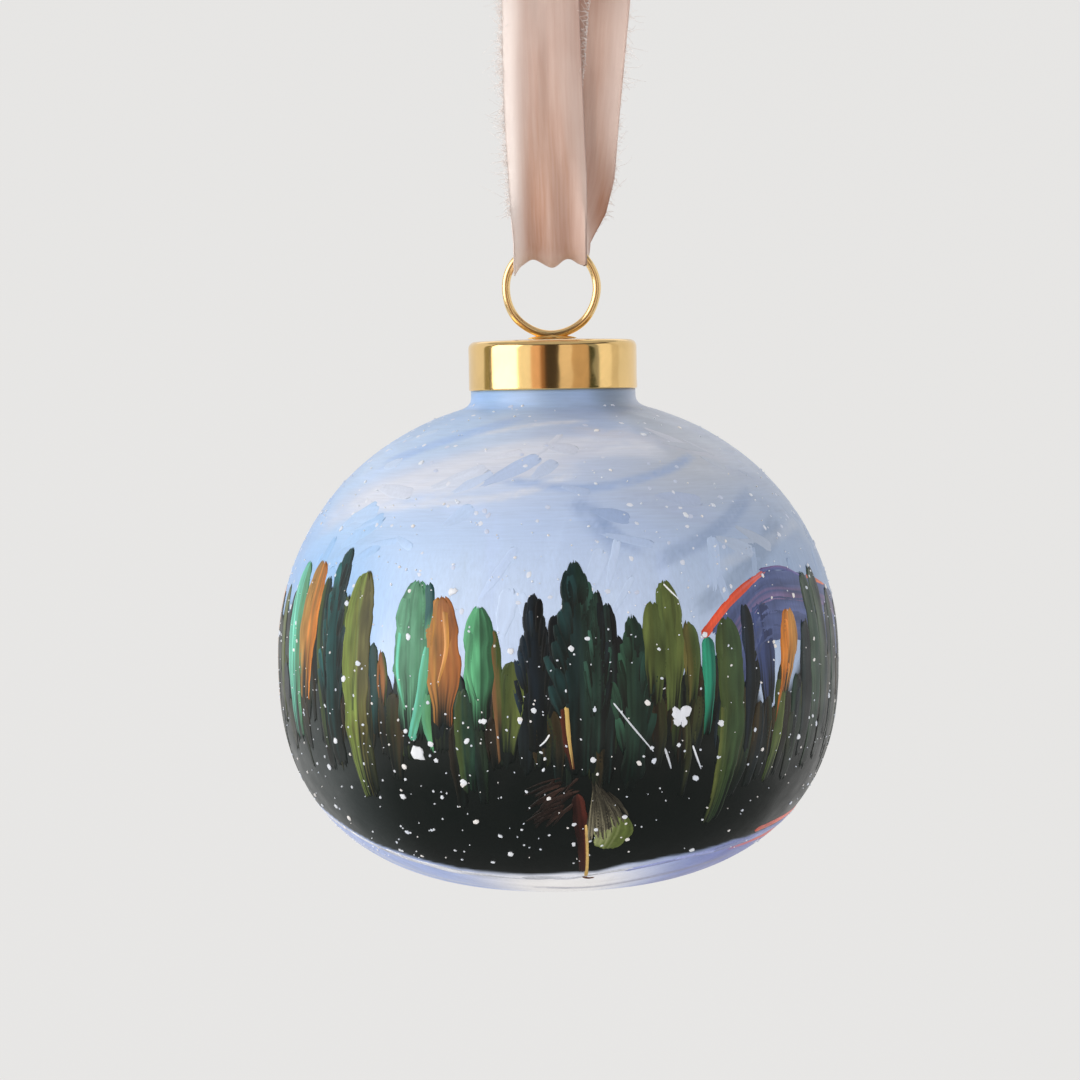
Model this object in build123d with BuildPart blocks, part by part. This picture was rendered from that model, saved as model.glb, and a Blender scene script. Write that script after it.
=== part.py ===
from build123d import *

import os
from math import cos, radians, sin

# A hand-painted ceramic ball ornament with a brass cap and ring, hung on a loop of silk ribbon.
# Millimetres, +Z up. The origin is the inner top of the ribbon loop, where a hook carries it.
# The ring stands in the XZ plane. The front leg of the ribbon is on the -Y side.

# ---- Driving dimensions -------------------------------------------------------------------------

# Ball, measured from its widest level
BALL_R = 38.1
CROWN_H = 35.4
CROWN_POWER = 2.1
BOWL_H = 31.7
BOWL_POWER = 2.5
BALL_WALL = 2.6
NECK_R = 11.2
NECK_TOP = 36.2
NECK_FILLET = 1.6
SPIGOT_R = 10.6
SPIGOT_H = 5.6
BORE_R = 8.2

# Cap
CAP_R = 11.45
CAP_H = 6.95
CAP_CROWN = 0.25
CAP_WALL = 0.45
CAP_EDGE_R = 1.0

# Ring and solder
RING_R = 6.2
WIRE_R = 0.58
SOLDER_HALF = 3.0
SOLDER_H = 0.8
SOLDER_THICK = 1.05
SOLDER_TOP_HALF = 2.7
SOLDER_TOP_THICK = 0.735
TOUCH_GAP = 0.02

# Adhesive film: how far it stands over the spigot's end and laps in over it
FILM_STAND = 0.3
FILM_LAP = 1.2

# Ribbon
DROP = 46.0
TWIST_Z = -30.0
CLEARANCE = 0.3
GATHER_HALF = 4.3
BIGHT_R = 3.75
WIRE_CLEARANCE = 0.15
KNOT_R = 4.2
KNOT_LENGTH = 11.0
KNOT_END_R = 2.4
KNOT_X = 1.4
TAIL_WIDTH = 12.0
TAIL_THICK = 0.9
LEG_THICK = 1.6
SOFT_CORNER = 0.45
TUNNEL_OVERRUN = 0.2

# Stations down each leg: height, centre x, centre y, folded width
FRONT_LEG = ((2.0, 0.6, -3.2, 8.0), (-5.5, -0.5, -4.4, 9.6), (-12.8, -0.7, -3.2, 10.5), (TWIST_Z, -0.7, -1.6, 10.3))
BACK_LEG = ((2.0, 2.2, 3.2, 8.0), (-5.5, 5.0, 4.4, 9.6), (-12.8, 6.4, 3.2, 10.5), (TWIST_Z, 4.7, 1.6, 10.0))

# Cut ends: where each leaves the knot in x and z, its rise and turn in degrees, and its run in y
LEFT_TAIL = {"side": -1, "start": (-3.6, 4.6), "rise": 38, "radius": 9.0, "turn": 108, "straight": 7.0, "y": -1.0}
RIGHT_TAIL = {"side": 1, "start": (6.4, 4.6), "rise": 48, "radius": 7.5, "turn": 118, "straight": 8.5, "y": 1.0}

# ---- Levels that follow from them ----------------------------------------------------------------

SWING_Z = -DROP
RING_Z = SWING_Z - RING_R
CAP_TOP = RING_Z - RING_R - WIRE_R - TOUCH_GAP
CAP_RIM = CAP_TOP - CAP_H
CAP_SIDE = CAP_H - CAP_CROWN
CAP_ROOF = CAP_SIDE - CAP_WALL
BALL_Z = CAP_RIM - NECK_TOP

# Stations down the gather: height, centre x, centre y, width, thickness
GATHER = (
    (TWIST_Z - CLEARANCE, 1.9, 0.0, 15.4, 4.8),
    (-41.4, 1.5, 0.0, 13.6, 5.6),
    (SWING_Z + WIRE_R, 0.3, 0.0, 10.8, 2 * BIGHT_R),
)


def oval(radius, height, power, angle):
    """A point of a superellipse, as (radius from the axis, height), by its angle in degrees."""
    a = radians(angle)
    return radius * cos(a) ** (2 / power), height * sin(a) ** (2 / power)


def ball_outline(shrink, neck_radius, neck_end):
    """Half of the ball's section from its bottom pole to the top of its neck, drawn inside the wall."""
    radius = BALL_R - shrink
    crown = CROWN_H - shrink
    bowl = BOWL_H - shrink
    share = (neck_radius / radius) ** CROWN_POWER
    neck_start = crown * (1 - share) ** (1 / CROWN_POWER)
    low = [oval(radius, bowl, BOWL_POWER, angle) for angle in (75, 60, 45, 30, 15)]
    low = [(0, -bowl)] + [(r, -z) for r, z in low] + [(radius, 0)]
    high = [oval(radius, crown, CROWN_POWER, angle) for angle in (15, 30, 45, 60)]
    high = [(radius, 0)] + high + [(neck_radius, neck_start)]
    slope = crown / radius * (neck_radius * crown / (radius * neck_start)) ** (CROWN_POWER - 1)
    Spline(*low, tangents=[(1, 0), (0, 1)])
    Spline(*high, tangents=[(0, 1), (-1, slope)])
    Line((neck_radius, neck_start), (neck_radius, neck_end))


def slab(sections):
    """A soft strip through flat rounded sections, each (height, centre x, centre y, width, thickness)."""
    outlines = []
    for height, x, y, width, thickness in sections:
        with BuildSketch(Plane.XY.offset(height)) as outline:
            with Locations((x, y)):
                RectangleRounded(width, thickness, SOFT_CORNER * thickness)
        outlines.append(outline.sketch)
    loft(outlines, ruled=True)


def tail(side, start, rise, radius, turn, straight, y):
    """A cut end of the ribbon that leaves the knot, arches over and hangs down. side is -1 or 1."""
    heading = (side * cos(radians(rise)), sin(radians(rise)))
    with BuildLine(Plane.XZ.offset(-y)) as path:
        arch = JernArc(start, heading, radius, -side * turn)
        Line(arch @ 1, arch @ 1 + straight * (arch % 1))
    with BuildSketch(Plane(origin=path.line @ 0, x_dir=(0, 1, 0), z_dir=path.line % 0)) as end:
        RectangleRounded(TAIL_WIDTH, TAIL_THICK, SOFT_CORNER * TAIL_THICK)
    sweep(end.sketch, path=path.line)


# ---- Ball: a slip-cast shell with a neck, open into the cap ----------------------------------------

with BuildPart() as ceramic_ball:
    with BuildSketch(Plane.XZ.shift_origin((0, 0, BALL_Z))):
        with BuildLine():
            ball_outline(0, NECK_R, NECK_TOP)
            Polyline(
                (NECK_R, NECK_TOP),
                (SPIGOT_R, NECK_TOP),
                (SPIGOT_R, NECK_TOP + SPIGOT_H),
                (0, NECK_TOP + SPIGOT_H),
                (0, -BOWL_H),
            )
        make_face()
    revolve(axis=Axis.Z)
    neck_foot = ceramic_ball.edges().filter_by(GeomType.CIRCLE).sort_by(Axis.Z)[0]
    fillet(neck_foot, NECK_FILLET)
    with BuildSketch(Plane.XZ.shift_origin((0, 0, BALL_Z))):
        with BuildLine():
            ball_outline(BALL_WALL, BORE_R, NECK_TOP + SPIGOT_H)
            Polyline(
                (BORE_R, NECK_TOP + SPIGOT_H),
                (0, NECK_TOP + SPIGOT_H),
                (0, BALL_WALL - BOWL_H),
            )
        make_face()
    revolve(axis=Axis.Z, mode=Mode.SUBTRACT)
ceramic_ball.part.label = "ceramic_ball"

# ---- Cap: a drawn brass cup over the neck -----------------------------------------------------------

with BuildPart() as cap:
    with BuildSketch(Plane.XZ.shift_origin((0, 0, CAP_RIM))):
        with BuildLine():
            Polyline((CAP_R - CAP_WALL, 0), (CAP_R, 0), (CAP_R, CAP_SIDE - CAP_EDGE_R))
            edge = JernArc((CAP_R, CAP_SIDE - CAP_EDGE_R), (0, 1), CAP_EDGE_R, 90)
            Spline(edge @ 1, (CAP_R / 2, CAP_H - CAP_CROWN / 4), (0, CAP_H), tangents=[(-1, 0), (-1, 0)])
            Polyline((0, CAP_H), (0, CAP_ROOF), (CAP_R - CAP_EDGE_R, CAP_ROOF))
            JernArc((CAP_R - CAP_EDGE_R, CAP_ROOF), (1, 0), CAP_EDGE_R - CAP_WALL, -90)
            Line((CAP_R - CAP_WALL, CAP_SIDE - CAP_EDGE_R), (CAP_R - CAP_WALL, 0))
        make_face()
    revolve(axis=Axis.Z)
cap.part.label = "cap"

# ---- Adhesive: the film between the spigot and the cap, squeezed over the spigot's end ---------------

with BuildPart() as cap_adhesive:
    with BuildSketch(Plane.XZ):
        with BuildLine():
            Polyline(
                (SPIGOT_R, CAP_RIM),
                (CAP_R - CAP_WALL, CAP_RIM),
                (CAP_R - CAP_WALL, CAP_RIM + SPIGOT_H),
                (SPIGOT_R - FILM_STAND, CAP_RIM + SPIGOT_H + FILM_STAND),
                (SPIGOT_R - FILM_LAP, CAP_RIM + SPIGOT_H),
                (SPIGOT_R, CAP_RIM + SPIGOT_H),
                close=True,
            )
        make_face()
    revolve(axis=Axis.Z)
cap_adhesive.part.label = "cap_adhesive"

# ---- Ring: closed round wire, standing on the cap ----------------------------------------------------

with BuildPart() as hanging_ring:
    with Locations((0, 0, RING_Z)):
        Torus(RING_R, WIRE_R, rotation=(90, 0, 0))
hanging_ring.part.label = "hanging_ring"

# ---- Solder: fills the wedge under the ring and flares on the cap --------------------------------------

with BuildPart() as ring_solder:
    with BuildSketch(Plane.XY.offset(CAP_TOP - CAP_CROWN / 4)):
        Ellipse(SOLDER_HALF, SOLDER_THICK)
    with BuildSketch(Plane.XY.offset(CAP_TOP + SOLDER_H)):
        Ellipse(SOLDER_TOP_HALF, SOLDER_TOP_THICK)
    loft()
    add(hanging_ring.part, mode=Mode.SUBTRACT)
    add(cap.part, mode=Mode.SUBTRACT)
ring_solder.part.label = "ring_solder"

# ---- Ribbon: one strip of silk, in the stretches that move together ------------------------------------

with BuildPart() as ribbon_knot:
    with BuildSketch(Plane.XZ):
        with BuildLine():
            Line((KNOT_X - KNOT_LENGTH / 2, KNOT_R), (KNOT_X + KNOT_LENGTH / 2, KNOT_R))
            Line((KNOT_X + KNOT_LENGTH / 2, KNOT_R), (KNOT_X + KNOT_LENGTH / 2, KNOT_R + KNOT_END_R))
            ThreePointArc(
                (KNOT_X + KNOT_LENGTH / 2, KNOT_R + KNOT_END_R),
                (KNOT_X, 2 * KNOT_R),
                (KNOT_X - KNOT_LENGTH / 2, KNOT_R + KNOT_END_R),
            )
            Line((KNOT_X - KNOT_LENGTH / 2, KNOT_R + KNOT_END_R), (KNOT_X - KNOT_LENGTH / 2, KNOT_R))
        make_face()
    revolve(axis=Axis((0, 0, KNOT_R), (1, 0, 0)))
ribbon_knot.part.label = "ribbon_knot"

with BuildPart() as ribbon_front_leg:
    slab([(*station, LEG_THICK) for station in FRONT_LEG])
    add(ribbon_knot.part, mode=Mode.SUBTRACT)
ribbon_front_leg.part.label = "ribbon_front_leg"

with BuildPart() as ribbon_back_leg:
    slab([(*station, LEG_THICK) for station in BACK_LEG])
    add(ribbon_knot.part, mode=Mode.SUBTRACT)
ribbon_back_leg.part.label = "ribbon_back_leg"

with BuildPart() as ribbon_tail_left:
    tail(**LEFT_TAIL)
    add(ribbon_knot.part, mode=Mode.SUBTRACT)
ribbon_tail_left.part.label = "ribbon_tail_left"

with BuildPart() as ribbon_tail_right:
    tail(**RIGHT_TAIL)
    add(ribbon_knot.part, mode=Mode.SUBTRACT)
ribbon_tail_right.part.label = "ribbon_tail_right"

# The gather turns with the ornament and holds the ring's top arc in a waisted tunnel.
# The tunnel is the space that the wire sweeps as it swings about the X axis at its own top.
with BuildPart() as ribbon_gather:
    slab(GATHER)
    with BuildSketch(Plane.YZ.offset(-GATHER_HALF)):
        with Locations((0, SWING_Z)):
            Circle(BIGHT_R)
    extrude(amount=2 * GATHER_HALF)
    with BuildSketch(Plane.XZ):
        with BuildLine():
            waist = WIRE_R + WIRE_CLEARANCE
            inner = RING_R - waist
            mouth = GATHER_HALF + TUNNEL_OVERRUN
            flare = RING_R - (inner**2 - mouth**2) ** 0.5
            Line((-mouth, SWING_Z), (mouth, SWING_Z))
            Line((mouth, SWING_Z), (mouth, SWING_Z - flare))
            ThreePointArc((mouth, SWING_Z - flare), (0, SWING_Z - waist), (-mouth, SWING_Z - flare))
            Line((-mouth, SWING_Z - flare), (-mouth, SWING_Z))
        make_face()
    revolve(axis=Axis((0, 0, SWING_Z), (1, 0, 0)), mode=Mode.SUBTRACT)
ribbon_gather.part.label = "ribbon_gather"

# ---- Write one file for each piece ----------------------------------------------------------------------

os.makedirs("parts", exist_ok=True)
export_step(ceramic_ball.part, "parts/ceramic_ball.step")
export_step(cap.part, "parts/cap.step")
export_step(cap_adhesive.part, "parts/cap_adhesive.step")
export_step(hanging_ring.part, "parts/hanging_ring.step")
export_step(ring_solder.part, "parts/ring_solder.step")
export_step(ribbon_knot.part, "parts/ribbon_knot.step")
export_step(ribbon_front_leg.part, "parts/ribbon_front_leg.step")
export_step(ribbon_back_leg.part, "parts/ribbon_back_leg.step")
export_step(ribbon_tail_left.part, "parts/ribbon_tail_left.step")
export_step(ribbon_tail_right.part, "parts/ribbon_tail_right.step")
export_step(ribbon_gather.part, "parts/ribbon_gather.step")
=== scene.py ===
"""The looks of a hand-painted ceramic ball ornament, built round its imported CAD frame.

Shapes are worked out in millimetres in the row frame and written to meshes in metres. Places on
the ball are given as an azimuth in degrees, 0 facing -Y and positive towards +X, and a height in
millimetres above the ball's widest level.
"""

import math

import bpy
import numpy as np
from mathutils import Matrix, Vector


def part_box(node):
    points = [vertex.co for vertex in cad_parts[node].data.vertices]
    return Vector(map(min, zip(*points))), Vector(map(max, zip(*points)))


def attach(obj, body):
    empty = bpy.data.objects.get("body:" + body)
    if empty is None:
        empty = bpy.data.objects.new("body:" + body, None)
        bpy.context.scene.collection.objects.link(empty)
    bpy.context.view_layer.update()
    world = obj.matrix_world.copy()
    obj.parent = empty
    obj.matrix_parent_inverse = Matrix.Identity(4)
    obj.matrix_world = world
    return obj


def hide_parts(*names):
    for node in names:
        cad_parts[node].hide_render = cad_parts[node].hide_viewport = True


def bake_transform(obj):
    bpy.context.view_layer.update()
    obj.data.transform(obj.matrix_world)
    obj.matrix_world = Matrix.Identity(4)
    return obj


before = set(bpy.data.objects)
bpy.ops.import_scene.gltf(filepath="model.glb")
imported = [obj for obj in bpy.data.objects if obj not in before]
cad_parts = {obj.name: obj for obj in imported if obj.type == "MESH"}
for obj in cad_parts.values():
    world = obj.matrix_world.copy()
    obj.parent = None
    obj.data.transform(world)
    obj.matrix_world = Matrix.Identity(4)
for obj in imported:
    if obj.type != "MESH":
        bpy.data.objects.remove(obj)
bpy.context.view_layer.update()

MM = 0.001


def corners_mm(node):
    low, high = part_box(node)
    return np.array(low) / MM, np.array(high) / MM


# ---- Sizes from the frame, and the sections that the CAD model shares -----------------------------

BALL_LOW, BALL_HIGH = corners_mm("ceramic_ball")
CAP_LOW, CAP_HIGH = corners_mm("cap")
RING_LOW, RING_HIGH = corners_mm("hanging_ring")
SOLDER_LOW, SOLDER_HIGH = corners_mm("ring_solder")

BALL_R = (BALL_HIGH[0] - BALL_LOW[0]) / 2
BOWL_H, BOWL_POWER = 31.7, 2.5
CROWN_H, CROWN_POWER = 35.4, 2.1
BALL_Z = BALL_LOW[2] + BOWL_H
BALL_WALL = 2.6
NECK_R, NECK_TOP, NECK_FILLET = 11.2, CAP_LOW[2] - BALL_Z, 1.6
SPIGOT_R, SPIGOT_TOP, BORE_R = 10.6, BALL_HIGH[2] - BALL_Z, 8.2

CAP_R = CAP_HIGH[0]
CAP_WALL, CAP_EDGE_R, CAP_CROWN = 0.45, 1.0, 0.25
WIRE_R = (RING_HIGH[1] - RING_LOW[1]) / 2
RING_R = (RING_HIGH[0] - RING_LOW[0]) / 2 - WIRE_R
RING_Z = (RING_HIGH[2] + RING_LOW[2]) / 2
SWING_Z = RING_Z + RING_R


# ---- Small helpers --------------------------------------------------------------------------------

def srgb(*rgb):
    """A colour read as 0 to 255 on a screen, as a linear colour."""
    c = np.array(rgb, float) / 255
    return np.where(c <= 0.04045, c / 12.92, ((c + 0.055) / 1.055) ** 2.4)


def on_screen(colour):
    """The other way: a linear colour as 0 to 255 on a screen."""
    c = np.clip(colour, 0, 1)
    return 255 * np.where(c <= 0.0031308, 12.92 * c, 1.055 * c ** (1 / 2.4) - 0.055)


def smooth(low, high, x):
    t = np.clip((np.asarray(x, float) - low) / (high - low), 0, 1)
    return t * t * (3 - 2 * t)


def mix(a, b, t):
    t = np.asarray(t, float)[..., None]
    return np.asarray(a) * (1 - t) + np.asarray(b) * t


def through(points, count):
    """A smooth curve through the points, as count evenly parametrised rows (Catmull-Rom)."""
    p = np.asarray(points, float)
    p = np.vstack([2 * p[0] - p[1], p, 2 * p[-1] - p[-2]])
    t = np.linspace(0, len(p) - 3 - 1e-9, count)
    i = t.astype(int)
    f = (t - i)[:, None]
    a, b, c, d = p[i], p[i + 1], p[i + 2], p[i + 3]
    return 0.5 * (2 * b + (c - a) * f + (2 * a - 5 * b + 4 * c - d) * f**2 + (3 * b - a - 3 * c + d) * f**3)


def grid_quads(rows, columns, closed):
    """Quads of a grid of points stored row by row. closed joins the last column to the first."""
    r = np.arange(rows - 1)[:, None]
    c = np.arange(columns if closed else columns - 1)[None, :]
    n = (c + 1) % columns
    return np.stack(
        [r * columns + c, r * columns + n, (r + 1) * columns + n, (r + 1) * columns + c], -1,
    ).reshape(-1, 4)


def make_piece(name, points, quads, triangles=(), colour=None, layers=None):
    """A mesh object from points in mm, with a linear colour and other numbers on each point."""
    mesh = bpy.data.meshes.new(name)
    quads = np.asarray(quads, int).reshape(-1, 4)
    triangles = np.asarray(triangles, int).reshape(-1, 3)
    loops = np.concatenate([quads.ravel(), triangles.ravel()])
    starts = np.concatenate([np.arange(len(quads)) * 4, len(quads) * 4 + np.arange(len(triangles)) * 3])
    mesh.vertices.add(len(points))
    mesh.vertices.foreach_set("co", (np.asarray(points, float) * MM).ravel())
    mesh.loops.add(len(loops))
    mesh.loops.foreach_set("vertex_index", loops)
    mesh.polygons.add(len(starts))
    mesh.polygons.foreach_set("loop_start", starts)
    mesh.update(calc_edges=True)
    mesh.validate()
    mesh.shade_smooth()
    if colour is not None:
        rgba = np.ones((len(points), 4))
        rgba[:, :3] = colour
        mesh.attributes.new("Paint", "FLOAT_COLOR", "POINT").data.foreach_set("color", rgba.ravel())
    for layer, values in (layers or {}).items():
        mesh.attributes.new(layer, "FLOAT", "POINT").data.foreach_set("value", np.asarray(values, float).ravel())
    piece = bpy.data.objects.new(name, mesh)
    bpy.context.scene.collection.objects.link(piece)
    return piece


def sealed(name, points, ends, flip=False, **extra):
    """A closed skin from rings of points in mm, with one more point to close it at each end."""
    rows, columns = points.shape[:2]
    count = rows * columns
    i = np.arange(columns)
    j = (i + 1) % columns
    last = count - columns
    low = np.stack([j, i, np.full(columns, count)], 1)
    high = np.stack([last + i, last + j, np.full(columns, count + 1)], 1)
    turn = -1 if flip else 1
    quads = grid_quads(rows, columns, True)[:, ::turn]
    fans = np.vstack([low, high])[:, ::turn]
    return make_piece(name, np.vstack([points.reshape(-1, 3), ends]), quads, fans, **extra)


# ---- Materials --------------------------------------------------------------------------------------

class Shader:
    """A Principled material whose nodes are added by short calls."""

    def __init__(self, name, **sockets):
        self.material = bpy.data.materials.new(name)
        self.material.use_nodes = True
        self.tree = self.material.node_tree
        self.surface = self.tree.nodes["Principled BSDF"]
        for socket, value in sockets.items():
            self.surface.inputs[socket.replace("_", " ")].default_value = value

    def node(self, kind, inputs=(), **settings):
        made = self.tree.nodes.new("ShaderNode" + kind)
        for key, value in settings.items():
            setattr(made, key, value)
        for key, value in dict(inputs).items():
            if isinstance(value, bpy.types.NodeSocket):
                self.tree.links.new(value, made.inputs[key])
            else:
                made.inputs[key].default_value = value
        return made

    def link(self, output, socket):
        self.tree.links.new(output, self.surface.inputs[socket])

    def place(self, scale, spin=(0, 0, 0)):
        """Object coordinates in mm, scaled along each axis."""
        at = self.node("TexCoord").outputs["Object"]
        sized = tuple(s / MM for s in scale)
        return self.node("Mapping", {"Vector": at, "Scale": sized, "Rotation": spin}).outputs["Vector"]

    def noise(self, vector, scale=1.0, detail=3.0, roughness=0.55, distortion=0.0):
        inputs = {
            "Vector": vector, "Scale": scale, "Detail": detail, "Roughness": roughness,
            "Distortion": distortion,
        }
        return self.node("TexNoise", inputs).outputs["Fac"]

    def remap(self, value, low, high, new_low, new_high):
        inputs = {0: value, 1: low, 2: high, 3: new_low, 4: new_high}
        return self.node("MapRange", inputs).outputs[0]

    def mixed(self, share, a, b, how="MIX"):
        made = self.node("Mix", {}, data_type="RGBA", blend_type=how)
        for socket, value in ((made.inputs[0], share), (made.inputs[6], a), (made.inputs[7], b)):
            if isinstance(value, bpy.types.NodeSocket):
                self.tree.links.new(value, socket)
            else:
                socket.default_value = (*value, 1) if hasattr(value, "__len__") else value
        return made.outputs[2]

    def maths(self, operation, a, b=0.0):
        return self.node("Math", {0: a, 1: b}, operation=operation).outputs[0]

    def attribute(self, name, output="Fac"):
        return self.node("Attribute", {}, attribute_name=name).outputs[output]

    def bump(self, height, distance, strength=1.0, normal=None):
        inputs = {"Height": height, "Distance": distance * MM, "Strength": strength}
        if normal is not None:
            inputs["Normal"] = normal
        return self.node("Bump", inputs).outputs["Normal"]


def acrylic(name, gloss, streaks, contrast):
    """Brushed acrylic under varnish. The colour is on the points; bristle marks run up the ball or round it."""
    s = Shader(name, Specular_IOR_Level=0.24, Coat_Weight=gloss, Coat_Roughness=0.2, Coat_IOR=1.4)
    up = s.noise(s.place((2.6, 2.6, 0.22)), detail=4.0, roughness=0.65)
    round_it = s.noise(s.place((0.20, 0.20, 3.4), (0.0, 0.16, 0.0)), detail=4.0, roughness=0.65)
    marks = s.mixed(s.attribute("Sweep"), up, round_it) if streaks else up
    shade = s.remap(marks, 0.25, 0.75, 1 - contrast, 1 + contrast)
    tinted = s.mixed(1.0, s.attribute("Paint", "Color"), shade, "MULTIPLY")
    s.link(tinted, "Base Color")
    blotches = s.noise(s.place((0.3, 0.3, 0.3)), detail=2.0)
    s.link(s.remap(blotches, 0.3, 0.7, 0.36, 0.52), "Roughness")
    s.link(s.bump(marks, 0.03, 0.45), "Normal")
    return s.material


def polished_brass(name, colour, roughness, wear):
    """Drawn, polished brass with fine rubbing marks and faint fingerprints."""
    s = Shader(name, Metallic=1.0)
    rubbed = s.noise(s.place((0.5, 0.5, 6.0)), detail=4.0, roughness=0.7)
    smears = s.noise(s.place((0.16, 0.16, 0.16)), detail=3.0, distortion=0.6)
    toned = s.mixed(s.remap(smears, 0.4, 0.7, 0.0, wear), colour, tuple(0.72 * c for c in colour))
    s.link(toned, "Base Color")
    s.link(s.remap(s.maths("MULTIPLY", rubbed, smears), 0.1, 0.45, roughness, roughness + 0.10), "Roughness")
    s.link(s.bump(rubbed, 0.004, 0.35), "Normal")
    return s.material


def silk(name):
    """Washed silk: a fine plain weave, slubs along the ribbon and a soft sheen. UVs are in mm, across and along."""
    s = Shader(name, Roughness=0.62, Sheen_Weight=0.35, Sheen_Roughness=0.35, Specular_IOR_Level=0.35)
    s.surface.inputs["Sheen Tint"].default_value = (1.0, 0.88, 0.84, 1)
    uv = s.node("UVMap", {}, uv_map="Cloth").outputs["UV"]
    fine = s.node("Mapping", {"Vector": uv, "Scale": (5.5, 5.5, 1.0)}).outputs["Vector"]
    across = s.node("TexWave", {"Vector": fine, "Scale": 1.0, "Distortion": 0.5, "Detail": 1.0}, bands_direction="X")
    along = s.node("TexWave", {"Vector": fine, "Scale": 1.0, "Distortion": 0.5, "Detail": 1.0}, bands_direction="Y")
    weave = s.maths("MULTIPLY", across.outputs["Fac"], along.outputs["Fac"])
    slub_place = s.node("Mapping", {"Vector": uv, "Scale": (2.2, 0.10, 1.0)}).outputs["Vector"]
    slubs = s.noise(slub_place, detail=3.0, roughness=0.6)
    cloud_place = s.node("Mapping", {"Vector": uv, "Scale": (0.12, 0.08, 1.0)}).outputs["Vector"]
    clouds = s.noise(cloud_place, detail=2.0)
    body = s.mixed(s.remap(clouds, 0.35, 0.65, 0.0, 1.0), tuple(srgb(214, 180, 166)), tuple(srgb(226, 197, 184)))
    # Lighter towards the raw borders: a painted highlight, for light on and through the thin silk there.
    body = s.mixed(s.attribute("EdgeLight"), body, tuple(srgb(252, 240, 234)))
    # Darker towards a brown in the folds and on faces turned from the light: painted shade.
    body = s.mixed(s.attribute("FoldShade"), body, tuple(srgb(196, 146, 120)))
    body = s.mixed(s.remap(slubs, 0.3, 0.7, 0.0, 0.28), body, tuple(srgb(240, 220, 210)))
    s.link(body, "Base Color")
    relief = s.maths("ADD", s.maths("MULTIPLY", weave, 0.4), slubs)
    s.link(s.bump(relief, 0.05, 0.5), "Normal")
    return s.material


def silk_thread(name):
    s = Shader(name, Roughness=0.7, Sheen_Weight=0.15, Specular_IOR_Level=0.2)
    tone = s.noise(s.place((1.5, 1.5, 1.5)), detail=2.0)
    # Near white, paler than the ribbon: partly the loose fibre's own paleness, partly painted light for light through
    # the fine threads.
    s.link(s.mixed(tone, tuple(srgb(250, 238, 232)), tuple(srgb(255, 252, 250))), "Base Color")
    return s.material


def bare(name, colour, roughness, grain, depth):
    """A plain material with a fine grain, for what the cap hides."""
    s = Shader(name)
    speckle = s.noise(s.place((grain, grain, grain)), detail=4.0)
    s.link(s.mixed(speckle, tuple(0.85 * c for c in colour), colour), "Base Color")
    s.link(s.remap(speckle, 0.3, 0.7, roughness - 0.08, roughness + 0.08), "Roughness")
    s.link(s.bump(speckle, depth, 0.6), "Normal")
    return s.material


# ---- The ball's surface as a place to paint -------------------------------------------------------

COLUMNS = 440
OUTER_ROWS = 205


def arc_lengths(line):
    return np.concatenate([[0], np.cumsum(np.hypot(*np.diff(line, axis=0).T))])


def resample(line, count):
    length = arc_lengths(line)
    even = np.linspace(0, length[-1], count)
    return np.stack([np.interp(even, length, line[:, 0]), np.interp(even, length, line[:, 1])], 1)


def half_ovals(radius, bowl, crown):
    """Foot to top of a ball section: rows of (radius, height above the widest level)."""
    t = np.linspace(0, math.pi / 2, 700)
    low = np.stack([radius * np.sin(t) ** (2 / BOWL_POWER), -bowl * np.cos(t) ** (2 / BOWL_POWER)], 1)
    high = np.stack([radius * np.cos(t) ** (2 / CROWN_POWER), crown * np.sin(t) ** (2 / CROWN_POWER)], 1)
    return low, high[1:]


def outer_line():
    low, high = half_ovals(BALL_R, BOWL_H, CROWN_H)
    elbow = np.interp(-NECK_R, -high[:, 0], high[:, 1])
    high = high[high[:, 0] > NECK_R + NECK_FILLET]
    t = np.linspace(0, 1, 12)[1:, None]
    fillet = (1 - t) ** 2 * high[-1] + 2 * t * (1 - t) * np.array([NECK_R, elbow]) + t**2 * np.array([
        NECK_R, elbow + 1.1,
    ])
    return resample(np.vstack([low, high, fillet, [[NECK_R, NECK_TOP]]]), OUTER_ROWS)


LINE = outer_line()
ARC = arc_lengths(LINE)
TANGENT = np.gradient(LINE, ARC, axis=0)
TANGENT /= np.hypot(*TANGENT.T)[:, None]
NORMAL = np.stack([TANGENT[:, 1], -TANGENT[:, 0]], 1)


def arc_at(height):
    return np.interp(height, LINE[:, 1], ARC)


def height_at(arc):
    return np.interp(arc, ARC, LINE[:, 1])


def radius_at(arc):
    return np.interp(arc, ARC, LINE[:, 0])


def on_ball(azimuth, arc, lift):
    """Points in mm at an azimuth in degrees, a distance along the section from the foot, and a lift off it."""
    a = np.radians(azimuth)
    radial = radius_at(arc) + lift * np.interp(arc, ARC, NORMAL[:, 0])
    height = height_at(arc) + lift * np.interp(arc, ARC, NORMAL[:, 1])
    return np.stack([radial * np.sin(a), -radial * np.cos(a), BALL_Z + height], -1)


def lattice(i, seed):
    n = i[..., 0] * 374761393 + i[..., 1] * 668265263 + i[..., 2] * 1440662683 + seed * 974634777
    n = (n ^ (n >> 13)) * 1274126177
    return ((n ^ (n >> 16)) & 0xFFFF) / 32767.5 - 1


def noise3(p, seed):
    """Smooth noise from -1 to 1 at the points p."""
    i = np.floor(p).astype(np.int64)
    f = p - i
    f = f * f * (3 - 2 * f)
    total = np.zeros(p.shape[:-1])
    for corner in np.ndindex(2, 2, 2):
        share = np.prod(np.where(corner, f, 1 - f), axis=-1)
        total += share * lattice(i + np.array(corner), seed)
    return total


def layered_noise(p, seed, octaves=3):
    return sum(noise3(p * 2**k, seed + k) / 2**k for k in range(octaves)) / 1.6


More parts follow.
